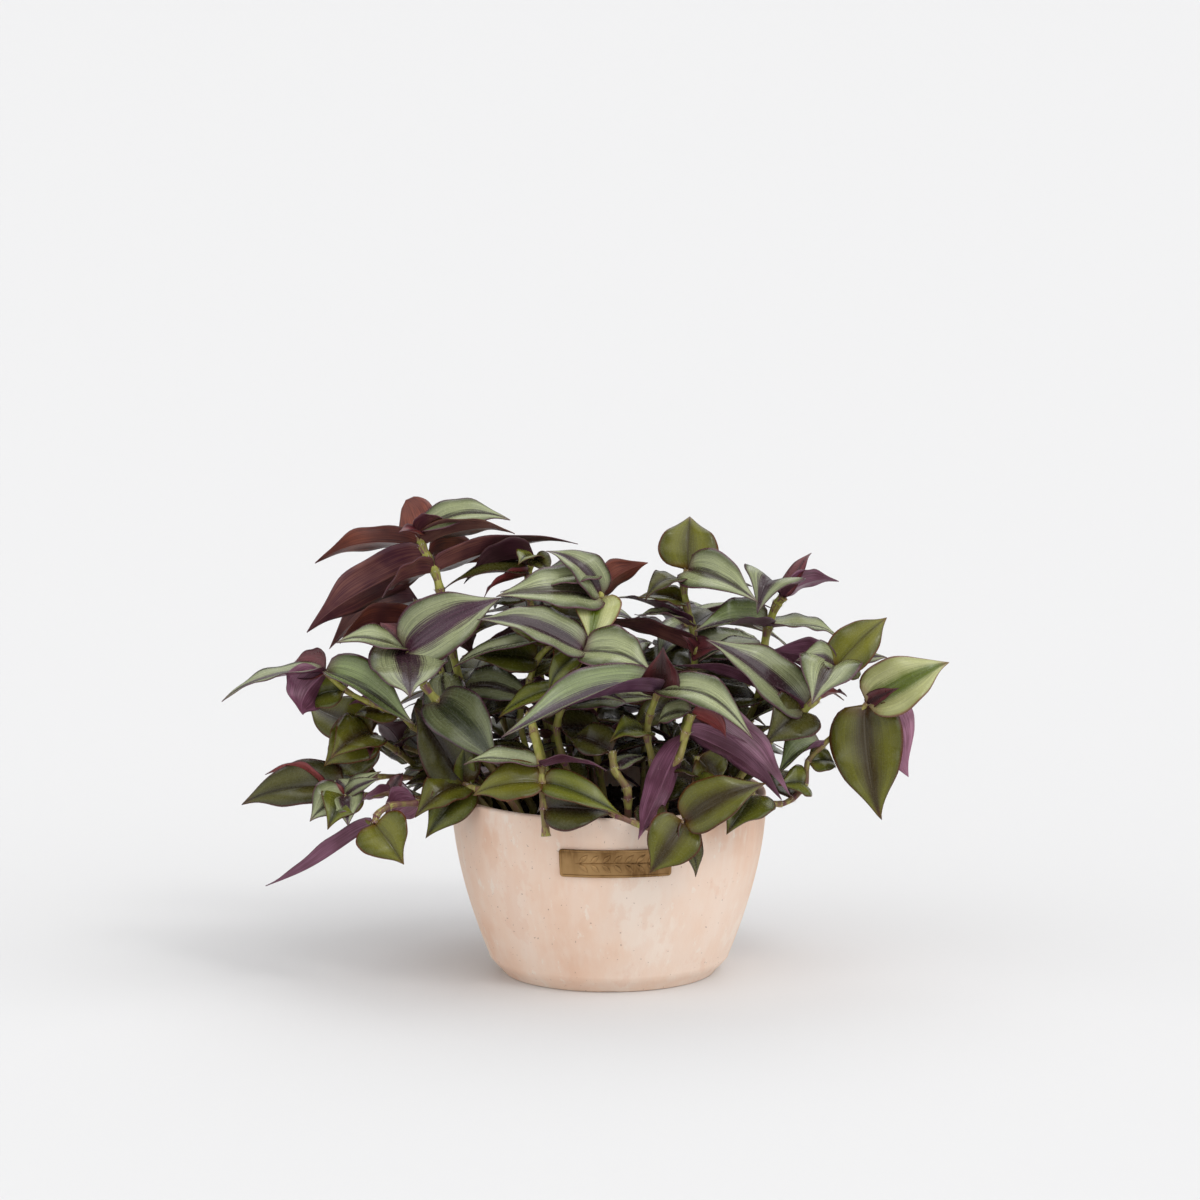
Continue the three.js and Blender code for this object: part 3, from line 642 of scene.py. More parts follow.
def kind(name, fold, curl, slot, upper, under):
    """A kind of leaf: its fold along the middle and how far its sides curl up, in degrees, and the
    finishes of its two faces. A kind made from another may fold further by its closing, lift one
    side by its raised, be slim, flatter or blunt, have root lobes, or lie aside by some mm."""
    return {
        "fold": math.radians(fold),
        "curl": math.radians(curl),
        "closing": 0,
        "raised": 0,
        "slim": 1,
        "lobes": 0.06,
        "flatter": 1,
        "blunt": False,
        "aside": 0,
        "slot": slot,
        "finishes": [leaf_finish(name + "_upper", *upper), under_finish(name + "_under", *under)],
    }


# Where the stripes lie: the middle's end, the band's two ends and the ground's start.
wide_band = (0.17, 0.34, 0.64, 0.9)
bold_band = (0.27, 0.46, 0.7, 0.92)
soft_band = (0.04, 0.44, 0.58, 0.95)
pale_band = (0.1, 0.36, 0.66, 0.95)
silver_faces = ("#8a9069", "#3c421f", "#38232a", "#562a3c", 0.2, wide_band), ("#502636", "#8a5a6c")
silver = kind("silver", 14, -50, "silver_leaf", *silver_faces)
dusky_faces = ("#666c4a", "#3a4226", "#343a20", "#523040", 0.2, wide_band), ("#432430", "#6e4a56")
dusky = kind("dusky", 12, -46, "dark_leaf", *dusky_faces)
green_face = ("#646820", "#424810", "#30320a", "#5a3420", 0.2, soft_band, 0.22, 0.14, 0.32)
green = kind("green", 12, -42, "green_leaf", green_face, ("#543236", "#80605c"))
pale_face = ("#b2b47a", "#8a8f44", "#5c6a1a", "#7a3f38", 0.2, pale_band, 0.26, 0.18)
pale = kind("pale", 12, -40, "green_leaf", pale_face, ("#54323a", "#805c62"))
olive_face = ("#62611a", "#44440e", "#3a2e0e", "#5a2c1a", 0.2, soft_band, 0.22, 0.14, 0.3)
olive = kind("olive", 11, -44, "olive_leaf", olive_face, ("#4c292c", "#785446"))
dark_face = ("#484618", "#2c2a0e", "#261a0e", "#482220", 0.26, soft_band, 0.22, 0.1, 0.34)
dark = kind("dark", 12, -44, "dark_leaf", dark_face, ("#3e1f28", "#644048"))
mauve = kind("mauve", 13, -40, "purple_leaf", silver_faces[0], ("#502838", "#906078"))
plum = kind("plum", 13, -40, "purple_leaf", silver_faces[0], ("#4a2230", "#8e5c52"))
brown_face = ("#5a5a26", "#3c3c10", "#38280f", "#54241c", 0.26, soft_band)
brown = kind("brown", 12, -40, "brown_leaf", brown_face, ("#481e20", "#8a4c3a"))
closed = {**mauve, "closing": math.radians(42)}
hanging = {**mauve, "closing": math.radians(38), "slim": 0.62}
heart = {**silver, "closing": math.radians(-20), "lobes": 0.3, "flatter": 0.15}
slim_silver = {**silver, "slim": 0.78}
bold_face = leaf_finish("bold_upper", "#8d936c", "#3c421f", "#482a3a", "#562a3c", 0.2, bold_band, 0.7)
bold_silver = {**silver, "finishes": [bold_face, silver["finishes"][1]]}
open_mauve = kind("open_mauve", 13, -40, "purple_leaf", silver_faces[0], ("#6c4052", "#a8788e"))
open_mauve["closing"] = math.radians(-24)
blunt_brown = {**brown, "closing": math.radians(-20), "slim": 1.12, "blunt": True}
slim_olive = {**olive, "slim": 0.87, "closing": math.radians(-8), "aside": 3.2}
young_face = ("#642a30", "#4a1c24", "#38161c", "#42161e", 0.34, soft_band)
young = kind("young", 34, 70, "purple_leaf", young_face, ("#5a2024", "#8c4440"))
rolled_faces = ("#7b8857", "#3c461c", "#3a2230", "#5a2c44", 0.2, wide_band), ("#56304a", "#8f6a84")
rolled = kind("rolled", 30, -30, "silver_leaf", *rolled_faces)
rolled["raised"] = math.radians(34)

stem_skin, tree, surface = new_material("stem_skin", 0.45)
wiring = Wiring(tree)
place = wiring.add("TexCoord").outputs["Object"]
purple = wiring.add("Attribute", {"attribute_name": "purple"}).outputs["Fac"]
fleck = wiring.mottle(place, 330, (1, 1, 0.45), detail=3)
fresh = wiring.ramp(fleck, [(0.3, paint("#888c36")), (0.55, paint("#a6a44c")), (0.75, paint("#c2bc74"))])
flecked = wiring.math("MULTIPLY", purple, wiring.between(fleck, 0.2, 0.6, 0.7, 1.2))
# The flush darkens the skin at the joints, which is the stem's own colour, and towards the foot, which is
# painted shade.
flush_and_shade = wiring.between(flecked, 0.15, 0.95)
wiring.join(surface.inputs["Base Color"], wiring.mix(flush_and_shade, fresh, paint("#6a3c42")))
wiring.join(surface.inputs["Normal"], wiring.bump(fleck, 0.25, 0.0004))

sheath_skin, tree, surface = new_material("sheath_skin", 0.5)
wiring = Wiring(tree)
place = wiring.add("TexCoord").outputs["Object"]
grain = wiring.mottle(place, 380, (1, 1, 0.4), detail=3)
tone = wiring.ramp(grain, [(0.3, paint("#74465a")), (0.46, paint("#8a704a")), (0.62, paint("#a3a055"))])
wiring.join(surface.inputs["Base Color"], tone)
wiring.join(surface.inputs["Normal"], wiring.bump(grain, 0.4, 0.0004))

hair_finish, _, surface = new_material("hair", 0.5)
surface.inputs["Base Color"].default_value = paint("#d8cdc4")

# ---- Shoots as placed ----
# Each shoot is a jointed stem that stands in the soil. About half of its joints have leaves here, and
# some bare ones only bend the stem. A small leaf is a tiny one that only this file draws.


def leaf(across, up, forward, wide, bow, lean, side, kind_of_leaf):
    """A leaf by its tip's place. bow is how far its middle rises over the line from root to tip, and
    its face looks up at a lean of 0, to the front at 90 and to the back at -90 degrees."""
    tip = seen(across, up, forward)
    give = eye - tip
    return {
        "tip": tip,
        "wide": wide,
        "bow": bow,
        "face": np.array([side, -math.sin(math.radians(lean)), math.cos(math.radians(lean))]),
        "give": give / np.linalg.norm(give),
        "kind": kind_of_leaf,
        "small": False,
    }


def small(*sizes):
    return {**leaf(*sizes), "small": True}


def joint(across, up, forward, *leaves):
    return {"at": seen(across, up, forward), "leaves": leaves}


def shoot(name, thick, foot_across, foot_forward, *joints):
    foot = np.array([foot_across, -foot_forward, soil_top])
    return {"name": name, "radius": thick / 2, "foot": foot, "joints": joints}


front_shoots = [
    shoot("stem_left_crown", 4.6, -38, 0,
        joint(-66, 120, -4),
        joint(-78.5, 159, -6),
        joint(-84.5, 189, -6),
        joint(-87, 198, -7,
            leaf(-16, 213.5, -26, 26, 6, -35, 0, plum),
            leaf(-114, 186, 10, 24, 3, -40, 0, plum)),
        joint(-90.5, 205, -8,
            leaf(-151.5, 168.5, -6, 30, 4, -50, 0, plum),
            leaf(-59.5, 203.5, -40, 24, 4, -70, 0, brown)),
        joint(-93.5, 211, -9,
            leaf(-147, 203.5, -26, 24, 6, -38, 0, brown),
            leaf(-47, 219, 10, 22, 5, -30, 0, olive)),
        joint(-94.5, 217, -10,
            leaf(-101, 233.5, -36, 20, 3, -80, 0, blunt_brown),
            leaf(-49.5, 225, -14, 27, 7, 30, 0, slim_silver),
            small(-104.5, 219, 6, 10, 1, 40, 0, young),
            small(-83, 225.5, 2, 14, 3, -40, 0, plum))),
    shoot("stem_left_heart", 4.6, -44, 16,
        joint(-63.5, 106, 22),
        joint(-69.5, 111, 24),
        joint(-77, 122.5, 28),
        joint(-86, 133.5, 30,
            leaf(-54.5, 100.5, 62, 29, 6, 60, 0, dusky)),
        joint(-92, 141, 30),
        joint(-101.5, 158, 28,
            leaf(-99.5, 137, 82, 38, 8, 20, 0, heart),
            leaf(-54.5, 185.5, 26, 34, 6, 62, 0, bold_silver),
            leaf(-114.5, 173, 20, 16, 2, 60, 0, young),
            leaf(-136, 163.5, 38, 22, 4, 20, 0, silver))),
    shoot("stem_left_behind", 3.6, -46, -12,
        joint(-74, 124, -18),
        joint(-88, 158, -20),
        joint(-98, 170, -20,
            leaf(-135.5, 164, 2, 28, 5, -50, 0, brown)),
        joint(-95.5, 184, -22,
            leaf(-140, 161.5, -34, 30, 6, -40, 0, plum))),
    shoot("stem_left_middle", 3, -52, 3,
        joint(-84.5, 111.5, 10),
        joint(-98, 120.5, 16),
        joint(-104.5, 126.5, 20,
            leaf(-128.5, 127, 14, 18, 3, 40, 0, olive)),
        joint(-112, 129.5, 23,
            small(-129.5, 133, 20, 12, 2, -40, 0, mauve)),
        joint(-119.5, 132.5, 25),
        joint(-132, 139, 28,
            leaf(-151.5, 131, 22, 20, 4, 50, 0, green)),
        joint(-142, 148, 30,
            leaf(-159, 153, 14, 21, 2, 60, 0, young),
            leaf(-194, 134.5, 40, 22, 4, 3, 0, silver),
            leaf(-154.5, 126.5, 44, 26, 5, -60, 0, mauve),
            leaf(-97.5, 122, 44, 28, 5, 62, 0, rolled))),
    shoot("stem_left_olive", 3.4, -60, -16,
        joint(-76, 98, -14),
        joint(-88.5, 96.5, -8),
        joint(-106, 108.5, 8),
        joint(-119, 116.5, 18,
            leaf(-151, 131.5, 16, 26, 4, 60, 0, olive),
            leaf(-139, 105.5, 42, 26, 6, 50, 0, olive),
            leaf(-142.5, 101.5, 30, 27, 5, 55, 0, olive),
            leaf(-139.5, 95, 18, 28, 4, 60, 0, brown),
            small(-119.5, 106.5, 34, 9, 1, 70, 0, young))),
    shoot("stem_left_small", 2.6, -50, -26,
        joint(-78.5, 103, -20),
        joint(-91, 106.5, -10),
        joint(-103.5, 111, -4,
            leaf(-117, 123, 2, 18, 3, -50, 0, dark),
            leaf(-108.5, 104, 20, 16, 3, 70, 0, dark),
            leaf(-96, 117, 12, 14, 3, 50, 0, dark))),
    shoot("stem_left_low", 3.4, -62, 10,
        joint(-75.5, 93.5, 12),
        joint(-84.5, 88, 24),
        joint(-97, 84.5, 36,
            small(-110.5, 91, 20, 16, 3, -40, 0, mauve)),
        joint(-109.5, 87.5, 42,
            small(-103, 98, 36, 8, 1, 60, 0, young),
            small(-114, 90, 32, 10, 1, 60, 0, mauve),
            small(-124.5, 84.5, 54, 10, 1, -60, 0, mauve)),
        joint(-122, 86, 46),
        joint(-132, 85.5, 46,
            leaf(-149.5, 74, 60, 24, 4, 50, 0, silver),
            leaf(-140.5, 70.5, 68, 22, 4, 60, 0, green),
            leaf(-130.5, 71.5, 66, 20, 4, 70, 0, silver),
            leaf(-145.5, 83.5, 50, 14, 2, -60, 0, young),
            leaf(-136.5, 95, 40, 18, 2, 70, 0, silver),
            small(-114.5, 98.5, 52, 12, 1, 40, 0, silver),
            small(-115.5, 95, 60, 10, 1, 50, 0, silver))),
    shoot("stem_left_long", 3, -62, -4,
        joint(-76, 97.5, -4),
        joint(-91.5, 94.5, 6),
        joint(-104.5, 95.5, 14),
        joint(-115.5, 95.5, 20),
        joint(-132, 91.5, 26,
            leaf(-184, 83, 30, 28, 4, 42, 0, dark)),
        joint(-142, 90.5, 28,
            leaf(-171.5, 98, 20, 16, 5, -20, 0, young))),
    shoot("stem_left_hanging", 3.4, -58, 22,
        joint(-73, 91.5, 24),
        joint(-81, 85, 38),
        joint(-95.5, 82.5, 48,
            leaf(-112.5, 70.5, 52, 26, 3, -50, 0, mauve)),
        joint(-109.5, 81, 56),
        joint(-116, 76.5, 60),
        joint(-117, 72, 62,
            leaf(-172, 41.5, 68, 25, -3, -42, 0, hanging),
            leaf(-103, 52.5, 74, 28, 4, 72, 0, olive),
            small(-123.5, 62.5, 56, 12, 1, 60, 0, olive))),
    shoot("stem_rim_left", 3.8, -42, 46,
        joint(-53, 87, 51),
        joint(-69.5, 90, 42),
        joint(-72, 91.5, 36,
            leaf(-97.5, 131, 46, 28, 5, 75, 0, dark),
            leaf(-97, 76, 54, 23, 5, 42, 0, olive),
            leaf(-91.5, 65.5, 48, 23, 5, 70, 0, green),
            small(-71, 114.5, 42, 11, 1, 70, 0, green))),
    shoot("stem_front_hanging", 4.2, -25, 30,
        joint(-39.5, 126.5, 50),
        joint(-37.5, 117, 66),
        joint(-34, 100, 81,
            leaf(-72.5, 103, 84, 22, 3, 12, 0, silver),
            leaf(-1, 100, 90, 20, 3, -12, 0, mauve)),
        joint(-33.5, 92.5, 85,
            leaf(-68, 87, 88, 24, 4, 42, 0, olive),
            leaf(7.5, 75.5, 96, 18, 6, 45, 0, green)),
        joint(-32.5, 80, 88,
            leaf(1, 77.5, 88, 26, 4, 60, 0, dark)),
        joint(-31.5, 66, 89)),
    shoot("stem_middle_pair", 4, -12, 20,
        joint(-23, 105.5, 30),
        joint(-26, 120.5, 34,
            leaf(2.5, 111.5, 20, 22, 4, 40, 0, dark)),
        joint(-20.5, 139, 38,
            leaf(-55.5, 126, 46, 18, 4, 15, 0, green)),
        joint(-13, 158, 40,
            leaf(-65.5, 175, 52, 29, 5, 35, 0, silver),
            leaf(23, 146.5, 52, 30, 6, 40, 0, silver),
            leaf(-30.5, 139, 46, 15, 4, 30, 0, green),
            small(-9.5, 169, 34, 12, 1, 60, 0, young))),
    shoot("stem_middle_low", 4.2, 9, 62,
        joint(9.5, 84, 64),
        joint(9, 89.5, 64),
        joint(3, 99, 60,
            small(20.5, 106, 46, 12, 2, 20, 0, mauve)),
        joint(1.5, 108, 56,
            leaf(-20, 115, 44, 22, 4, 40, 0, dark))),
    shoot("stem_middle_tall", 4.2, -2, -2,
        joint(-8, 124, 4),
        joint(-6.5, 140, 4),
        joint(-5.5, 159, 10),
        joint(-4.5, 185, 16,
            leaf(-56, 187, 34, 31, 4, 42, 0, bold_silver),
            leaf(-31, 209, 14, 23, 8, 35, 0, silver),
            leaf(19, 203, 4, 22, 4, -45, 0, brown),
            leaf(-9.5, 161.5, 38, 24, 5, 70, 0, pale)),
        joint(-5, 194, 14,
            leaf(-37.5, 190.5, 24, 24, 4, 20, 0, bold_silver))),
    shoot("stem_middle_behind", 3.6, -20, -15,
        joint(-32, 134, -14),
        joint(-37, 169, -16),
        joint(-40.5, 196.5, -14,
            leaf(-84, 190.5, -8, 22, 4, 10, 0, dark),
            leaf(-63, 187, 4, 16, 2, -30, 0, young)),
        joint(-37, 205, -14,
            leaf(-73, 194, -20, 28, 4, -40, 0, dark),
            leaf(-45, 203, 8, 14, 2, 40, 0, green),
            small(-29, 197, 0, 12, 2, 60, 0, dark))),
    shoot("stem_middle_shade", 3.6, -30, 12,
        joint(-44.5, 124, 10),
        joint(-39.5, 144, 12),
        joint(-36, 154, 14,
            leaf(-73.5, 156.5, 18, 24, 4, 50, 0, green)),
        joint(-28, 163, 16,
            leaf(-78, 151, 32, 20, 4, 8, 0, silver),
            leaf(-54.5, 176.5, 14, 22, 4, 40, 0, green))),
    shoot("stem_right_crown", 4, 28, -5,
        joint(40.5, 134, 2),
        joint(43, 158, 6,
            leaf(-17.5, 171, 0, 26, 5, -28, 0, plum),
            leaf(55.5, 160, 14, 15, 2, 60, 0, young),
            small(37.5, 166, 14, 8, 1, 60, 0, young)),
        joint(42, 170, 6,
            leaf(12, 175.5, 14, 20, 4, 10, 0, silver),
            leaf(-2, 185.5, -10, 22, 4, -20, 0, mauve)),
        joint(38.5, 182, 4,
            leaf(14, 185.5, 8, 16, 3, 30, 0, olive)),
        joint(37.5, 191, 2,
            leaf(18, 185.5, 18, 18, 6, 10, 0, dark)),
        joint(39.5, 199, 0,
            leaf(40.5, 226.5, -12, 31, 4, 75, 0, olive),
            leaf(74, 184, 30, 33, 6, 58, 0, slim_silver))),
    shoot("stem_right_tall", 4.6, 42, 0,
        joint(70, 124, -2),
        joint(76.5, 144, 0),
        joint(77.5, 159, 2,
            leaf(45, 154, 20, 20, 4, 10, 0, silver)),
        joint(79.5, 170, 4,
            leaf(43, 169, 22, 29, 5, 45, 0, rolled),
            leaf(116.5, 165, 0, 20, 4, 8, 0, silver)),
        joint(84, 182, 6),
        joint(87, 185.5, 8,
            leaf(114.5, 194, -4, 20, 4, -45, 0, mauve),
            leaf(74, 178, 50, 35, 12, 10, 0, silver),
            small(101, 208.5, -4, 10, 2, 40, 0, young))),
    shoot("stem_right_big", 4.4, 52, 24,
        joint(77.5, 110.5, 36),
        joint(87, 118, 40),
        joint(94, 118.5, 41),
        joint(97, 128, 42,
            leaf(48.5, 164.5, 46, 31, 5, 38, 0, silver),
            leaf(78, 112.5, 64, 28, 5, 70, 0, dark),
            leaf(32.5, 152, 28, 24, 4, -20, 0, mauve)),
        joint(103, 134, 42,
            small(119, 137.5, 52, 14, 2, -30, 0, young)),
        joint(113, 150, 36,
            leaf(139, 175.5, 24, 23, 3, 62, 0, olive),
            leaf(94, 154.5, 46, 22, 4, 40, 0, silver),
            leaf(101.5, 132.5, 76, 33, 6, 32, 0, silver),
            leaf(81, 159, 16, 22, 3, -60, 0, mauve),
            leaf(127, 148, 20, 15, 2, 60, 0, brown),
            small(139, 156, 30, 14, 2, 30, 0, silver))),
    shoot("stem_right_trailing", 3, 48, 40,
        joint(63, 88.5, 45),
        joint(71.5, 86.5, 43,
            leaf(59.5, 68, 78, 27, 4, 72, 0, green)),
        joint(75.5, 84.5, 40),
        joint(85.5, 82, 36),
        joint(91.5, 84.5, 34),
        joint(98, 91.5, 32,
            leaf(85.5, 92, 44, 18, 3, 60, 0, green)),
        joint(99.5, 103, 30,
            leaf(114.5, 101, 22, 16, 3, 50, 0, green)),
        joint(106.5, 111, 30,
            leaf(84.5, 98, 54, 24, 4, 42, 0, rolled)),
        joint(118, 121.5, 27),
        joint(129, 132, 24,
            leaf(136.5, 74, 36, 41, 4, 84, 0, slim_olive),
            leaf(149.5, 96.5, 10, 34, 4, -80, 0, open_mauve),
            leaf(170, 153.5, 18, 31, 3, 55, 0, pale),
            small(144.5, 140, 32, 9, 1, 60, 0, young))),
    shoot("stem_centre_right", 3.8, 24, 48,
        joint(26, 81.5, 50),
        joint(23.5, 91, 51),
        joint(21.5, 104, 50),
        joint(19, 117, 50,
            leaf(1, 115, 66, 18, 4, 30, 0, green)),
        joint(20.5, 126.5, 52),
        joint(24.5, 138, 54,
            leaf(27, 160, 62, 22, 2, 75, 0, young),
            leaf(72, 115, 80, 29, 12, 35, 0, slim_silver),
            leaf(-53.5, 116.5, 78, 33, 8, 42, 0, rolled))),
    shoot("stem_front_purple", 4.4, 15, 57,
        joint(26.5, 98.5, 66),
        joint(34.5, 105, 66),
        joint(38.5, 118, 66,
            leaf(14, 63.5, 94, 28, 4, -85, 0, closed),
            leaf(87, 85.5, 66, 20, 4, -40, 0, mauve)),
        joint(41.5, 127.5, 68,
            leaf(59.5, 115, 84, 18, 3, -50, 0, young),
            leaf(91, 86.5, 82, 29, 5, -55, 0, closed),
            leaf(23, 121.5, 60, 18, 3, 30, 0, silver))),
    shoot("stem_front_right", 2.8, 40, 50,
        joint(41.5, 87.5, 54,
            leaf(59, 92.5, 72, 14, 3, 50, 0, green)),
        joint(43, 95, 56,
            leaf(26, 98, 70, 16, 4, 20, 0, dark)),
        joint(44, 106, 55,
            leaf(56, 93, 66, 22, 4, 68, 0, olive))),
    shoot("stem_over_rim", 3.2, -8, 60,
        joint(-4.5, 80, 76),
        joint(3, 76.5, 84),
        joint(15.5, 71.5, 86.5),
        joint(23, 69.5, 87.5,
            leaf(18, 83, 90, 16, 3, 60, 0, dark)),
        joint(37.5, 73, 88,
            leaf(20.5, 47.5, 97, 27, 4, 84, 0, olive),
            leaf(78, 93, 86, 26, 5, 58, 0, olive),
            small(44, 45.5, 90, 13, 2, 84, 0.6, dark))),
]

# ---- Blades ----
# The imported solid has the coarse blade. The fine one here has nearly the same tip, bow, outline and
# fold, except in the kinds that are slimmer, flatter, blunter, more closed or more open.
# Where a coarse leaf gave way to a neighbour, the way it went is told by its corners.

blade_thickness = 0.8
fine_thickness = 0.55
broad_rows = [0.15, 0.38, 0.68]
slim_rows = [0.2, 0.55]
broad_from = 24.5
give_way = [0, 4, -4, 8, -8, 12, -12, 17, -17, 22, -22, 28, -28, 34, -34]
corner_reach = 0.03


def leaf_outline(t):
    """Half a leaf's width along its length, 1 at its widest."""
    return 2.8 * t**0.55 * (1 - t) ** 1.05


def full_outline(t):
    """The same for the finished blade, with a fuller root and a drawn-out tip."""
    drawn_out = np.clip((t - 0.6) / 0.38, 0, 1)
    return 2.48 * t**0.43 * (1 - t) ** 0.98 * (1 - 0.42 * drawn_out**2 * (3 - 2 * drawn_out))


def blunt_outline(t):
    """The same for a young blade with a round end."""
    return 2.0 * (t * (1 - t)) ** 0.5


def blade_axes(base, blade, shift):
    along = blade["tip"] + shift - base
    up = blade["face"] - along * (blade["face"] @ along) / (along @ along)
    up /= np.linalg.norm(up)
    across = np.cross(along, up)
    return along, up, across / np.linalg.norm(across)


def coarse_corners(base, blade, shift):
    """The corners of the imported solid's blade, in millimetres."""
    along, up, across = blade_axes(base, blade, shift)
    fold = blade["kind"]["fold"]
    sheet = blade_thickness / math.cos(fold)
    rows = slim_rows if blade["wide"] < broad_from else broad_rows
    spots = [(t, side) for t in rows for side in (-1, 0, 1)] + [(1, 0)]
    corners = []
    for t, side in spots:
        half = abs(side) * blade["wide"] / 2 * leaf_outline(t)
        for level in (0.5, -0.5):
            rise = blade["bow"] * 4 * t * (1 - t) + half * math.sin(fold) + level * sheet
            corners.append(base + along * t + up * rise + across * side * half * math.cos(fold))
    return np.array(corners)


def packed_corners(name):
    """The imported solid's corners, to be searched by place."""
    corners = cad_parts[name].data.vertices
    tree = KDTree(len(corners))
    for k, corner in enumerate(corners):
        tree.insert(corner.co, k)
    tree.balance()
    return tree


def found(corners, tree):
    """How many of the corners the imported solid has."""
    return sum(tree.find(Vector(corner * mm))[2] < corner_reach * mm for corner in corners)


def blade_pattern(name, across, along):
    """A flat blade one unit long, wide and thick, to be copied and bent into a leaf."""
    bpy.ops.mesh.primitive_grid_add(x_subdivisions=across, y_subdivisions=along, size=1)
    piece = bpy.context.object
    piece.name = name
    for blank in ("blank_upper", "blank_under"):
        piece.data.materials.append(bpy.data.materials.new(blank))
    apply_modifier(piece, "SOLIDIFY", thickness=1, offset=0, material_offset=1)
    bpy.ops.object.shade_smooth()
    return piece, np.array([vertex.co for vertex in piece.data.vertices])


fine_pattern = blade_pattern("fine_pattern", 10, 24)
plain_pattern = blade_pattern("plain_pattern", 4, 8)

clasp = 1.7
clasp_end = 0.1
least_half = 0.12
channel = math.radians(34)
channel_end = 0.06
bent_back = 0.62
rib_round = 0.7
most_twist = 0.55
wave_share = 0.034
most_sway = 0.024
most_swell = 0.014
nod_start = 0.72
lobe_end = 0.22


def finished_blade(base, blade, shift, flat_places, owner_rng):
    """The finished blade: rounded fold, curved sides, channelled root, waving margin, drawn-out tip."""
    along, up, across = blade_axes(base, blade, shift)
    wide, fold = blade["wide"] * blade["kind"]["slim"], blade["kind"]["fold"]
    grid_side, t, grid_level = 2 * flat_places[:, 0], flat_places[:, 1] + 0.5, flat_places[:, 2]
    outline = blunt_outline if blade["kind"]["blunt"] else full_outline
    half = wide / 2 * outline(np.clip(t, 0, 1))
    half = np.maximum(half, clasp * np.clip(1 - t / clasp_end, 0, 1)) + least_half
    out = np.abs(grid_side)
    curl = blade["kind"]["curl"] * owner_rng.uniform(0.7, 1.3) * (1 - 0.4 * t)
    bend = fold + blade["kind"]["closing"] + channel * np.exp(-t / channel_end) - bent_back * curl
    near_side = -np.sign(across[1])
    raised = blade["kind"]["raised"] * np.sin(math.pi * np.clip(t, 0, 1) ** 0.7) ** 0.5
    bend = bend + np.where(grid_side * near_side > 0, raised, -0.4 * raised)
    spread = np.sign(grid_side) * half * (np.sin(bend + curl * out) - np.sin(bend)) / curl
    slope = half * (np.cos(bend) - np.cos(bend + curl * out)) / curl
    slope = np.sqrt(slope**2 + rib_round**2) - rib_round
    turn = owner_rng.uniform(-most_twist, most_twist) * (t - 0.25)
    flat_spread = spread
    spread = flat_spread * np.cos(turn) - slope * np.sin(turn)
    slope = flat_spread * np.sin(turn) + slope * np.cos(turn)
    rise = blade["bow"] * blade["kind"]["flatter"] * 4 * t * (1 - t) + slope
    waves, phase = owner_rng.uniform(1.6, 3.2), owner_rng.uniform(0, 2 * math.pi, 2)
    swing = np.where(grid_side > 0, phase[0], phase[1])
    wave = wave_share * wide * grid_side**2 * np.sin(2 * math.pi * waves * t + swing) * np.sin(math.pi * t)
    long = np.linalg.norm(along)
    sway = owner_rng.uniform(-most_sway, most_sway) * long * np.sin(math.pi * t) ** 2
    swell = owner_rng.uniform(-most_swell, most_swell) * long * np.sin(2 * math.pi * t)
    nod = owner_rng.uniform(0.6, 2.6) * np.clip((t - nod_start) / (1 - nod_start), 0, 1) ** 2
    thickness = fine_thickness * (1 - 0.35 * np.abs(grid_side) ** 3)
    height = rise + wave + swell - nod + grid_level * thickness
    spread = spread + sway + blade["kind"]["aside"] * np.sin(math.pi * np.clip(t, 0, 1)) ** 0.6
    lobes = blade["kind"]["lobes"] * grid_side**2 * np.exp(-t / lobe_end) * np.clip(t / channel_end, 0, 1)
    places = base + np.outer(t - lobes, along) + np.outer(height, up) + np.outer(spread, across)
    tone = np.full(len(t), owner_rng.uniform(-1, 1), np.float32)
    return places, tone


def add_mesh(name, places, tone, template, finishes):
    """A copy of a template piece with its corners moved to places, in millimetres."""
    data = template.data.copy()
    data.vertices.foreach_set("co", (places * mm).astype(np.float32).ravel())
    if tone is not None:
        data.attributes.new("tone", "FLOAT", "POINT").data.foreach_set("value", tone)
    for k, finish in enumerate(finishes):
        data.materials[k] = finish
    data.update()
    piece = bpy.data.objects.new(name, data)
    bpy.context.scene.collection.objects.link(piece)
    return piece


# ---- Stems ----
# Juicy jointed stems, a little thicker at each joint and flushed with purple there. Lower down they
# darken to purple-brown, which is painted shade for the shadowed inside of the crown. A thin sheath
# wraps the stem below each joint, with hairs round its mouth, where the leaves leave it.

root_depth = 9
collar_height = 3
joint_swell = 0.22
joint_reach = 2.6
internode_share = 0.86
# How strongly the stems darken towards the foot, as painted shade, and the height above which they don't.
foot_shade_share = 0.5
foot_shade_top = soil_top + 68
tip_share = 0.55
steps_between_joints = 8
sheath_length = 4.4
sheath_flare = np.array([0.88, 0.95, 1.0, 1.05, 1.12, 1.2])


def smooth_line(places, steps):
    """A smooth line through places, with so many steps from each to the next."""
    ends = [2 * places[0] - places[1], *places, 2 * places[-1] - places[-2]]
    line = []
    for k in range(1, len(ends) - 2):
        p0, p1, p2, p3 = ends[k - 1 : k + 3]
        d0, d1, d2 = (np.linalg.norm(b - a) ** 0.5 for a, b in ((p0, p1), (p1, p2), (p2, p3)))
        leave = ((p1 - p0) / d0 - (p2 - p0) / (d0 + d1) + (p2 - p1) / d1) * d1
        arrive = ((p2 - p1) / d1 - (p3 - p1) / (d1 + d2) + (p3 - p2) / d2) * d1
        for step in range(steps):
            w = step / steps
            cubic = 2 * p1 - 2 * p2 + leave + arrive
            square = -3 * p1 + 3 * p2 - 2 * leave - arrive
            line.append(p1 + leave * w + square * w**2 + cubic * w**3)
    return np.array([*line, places[-1]])


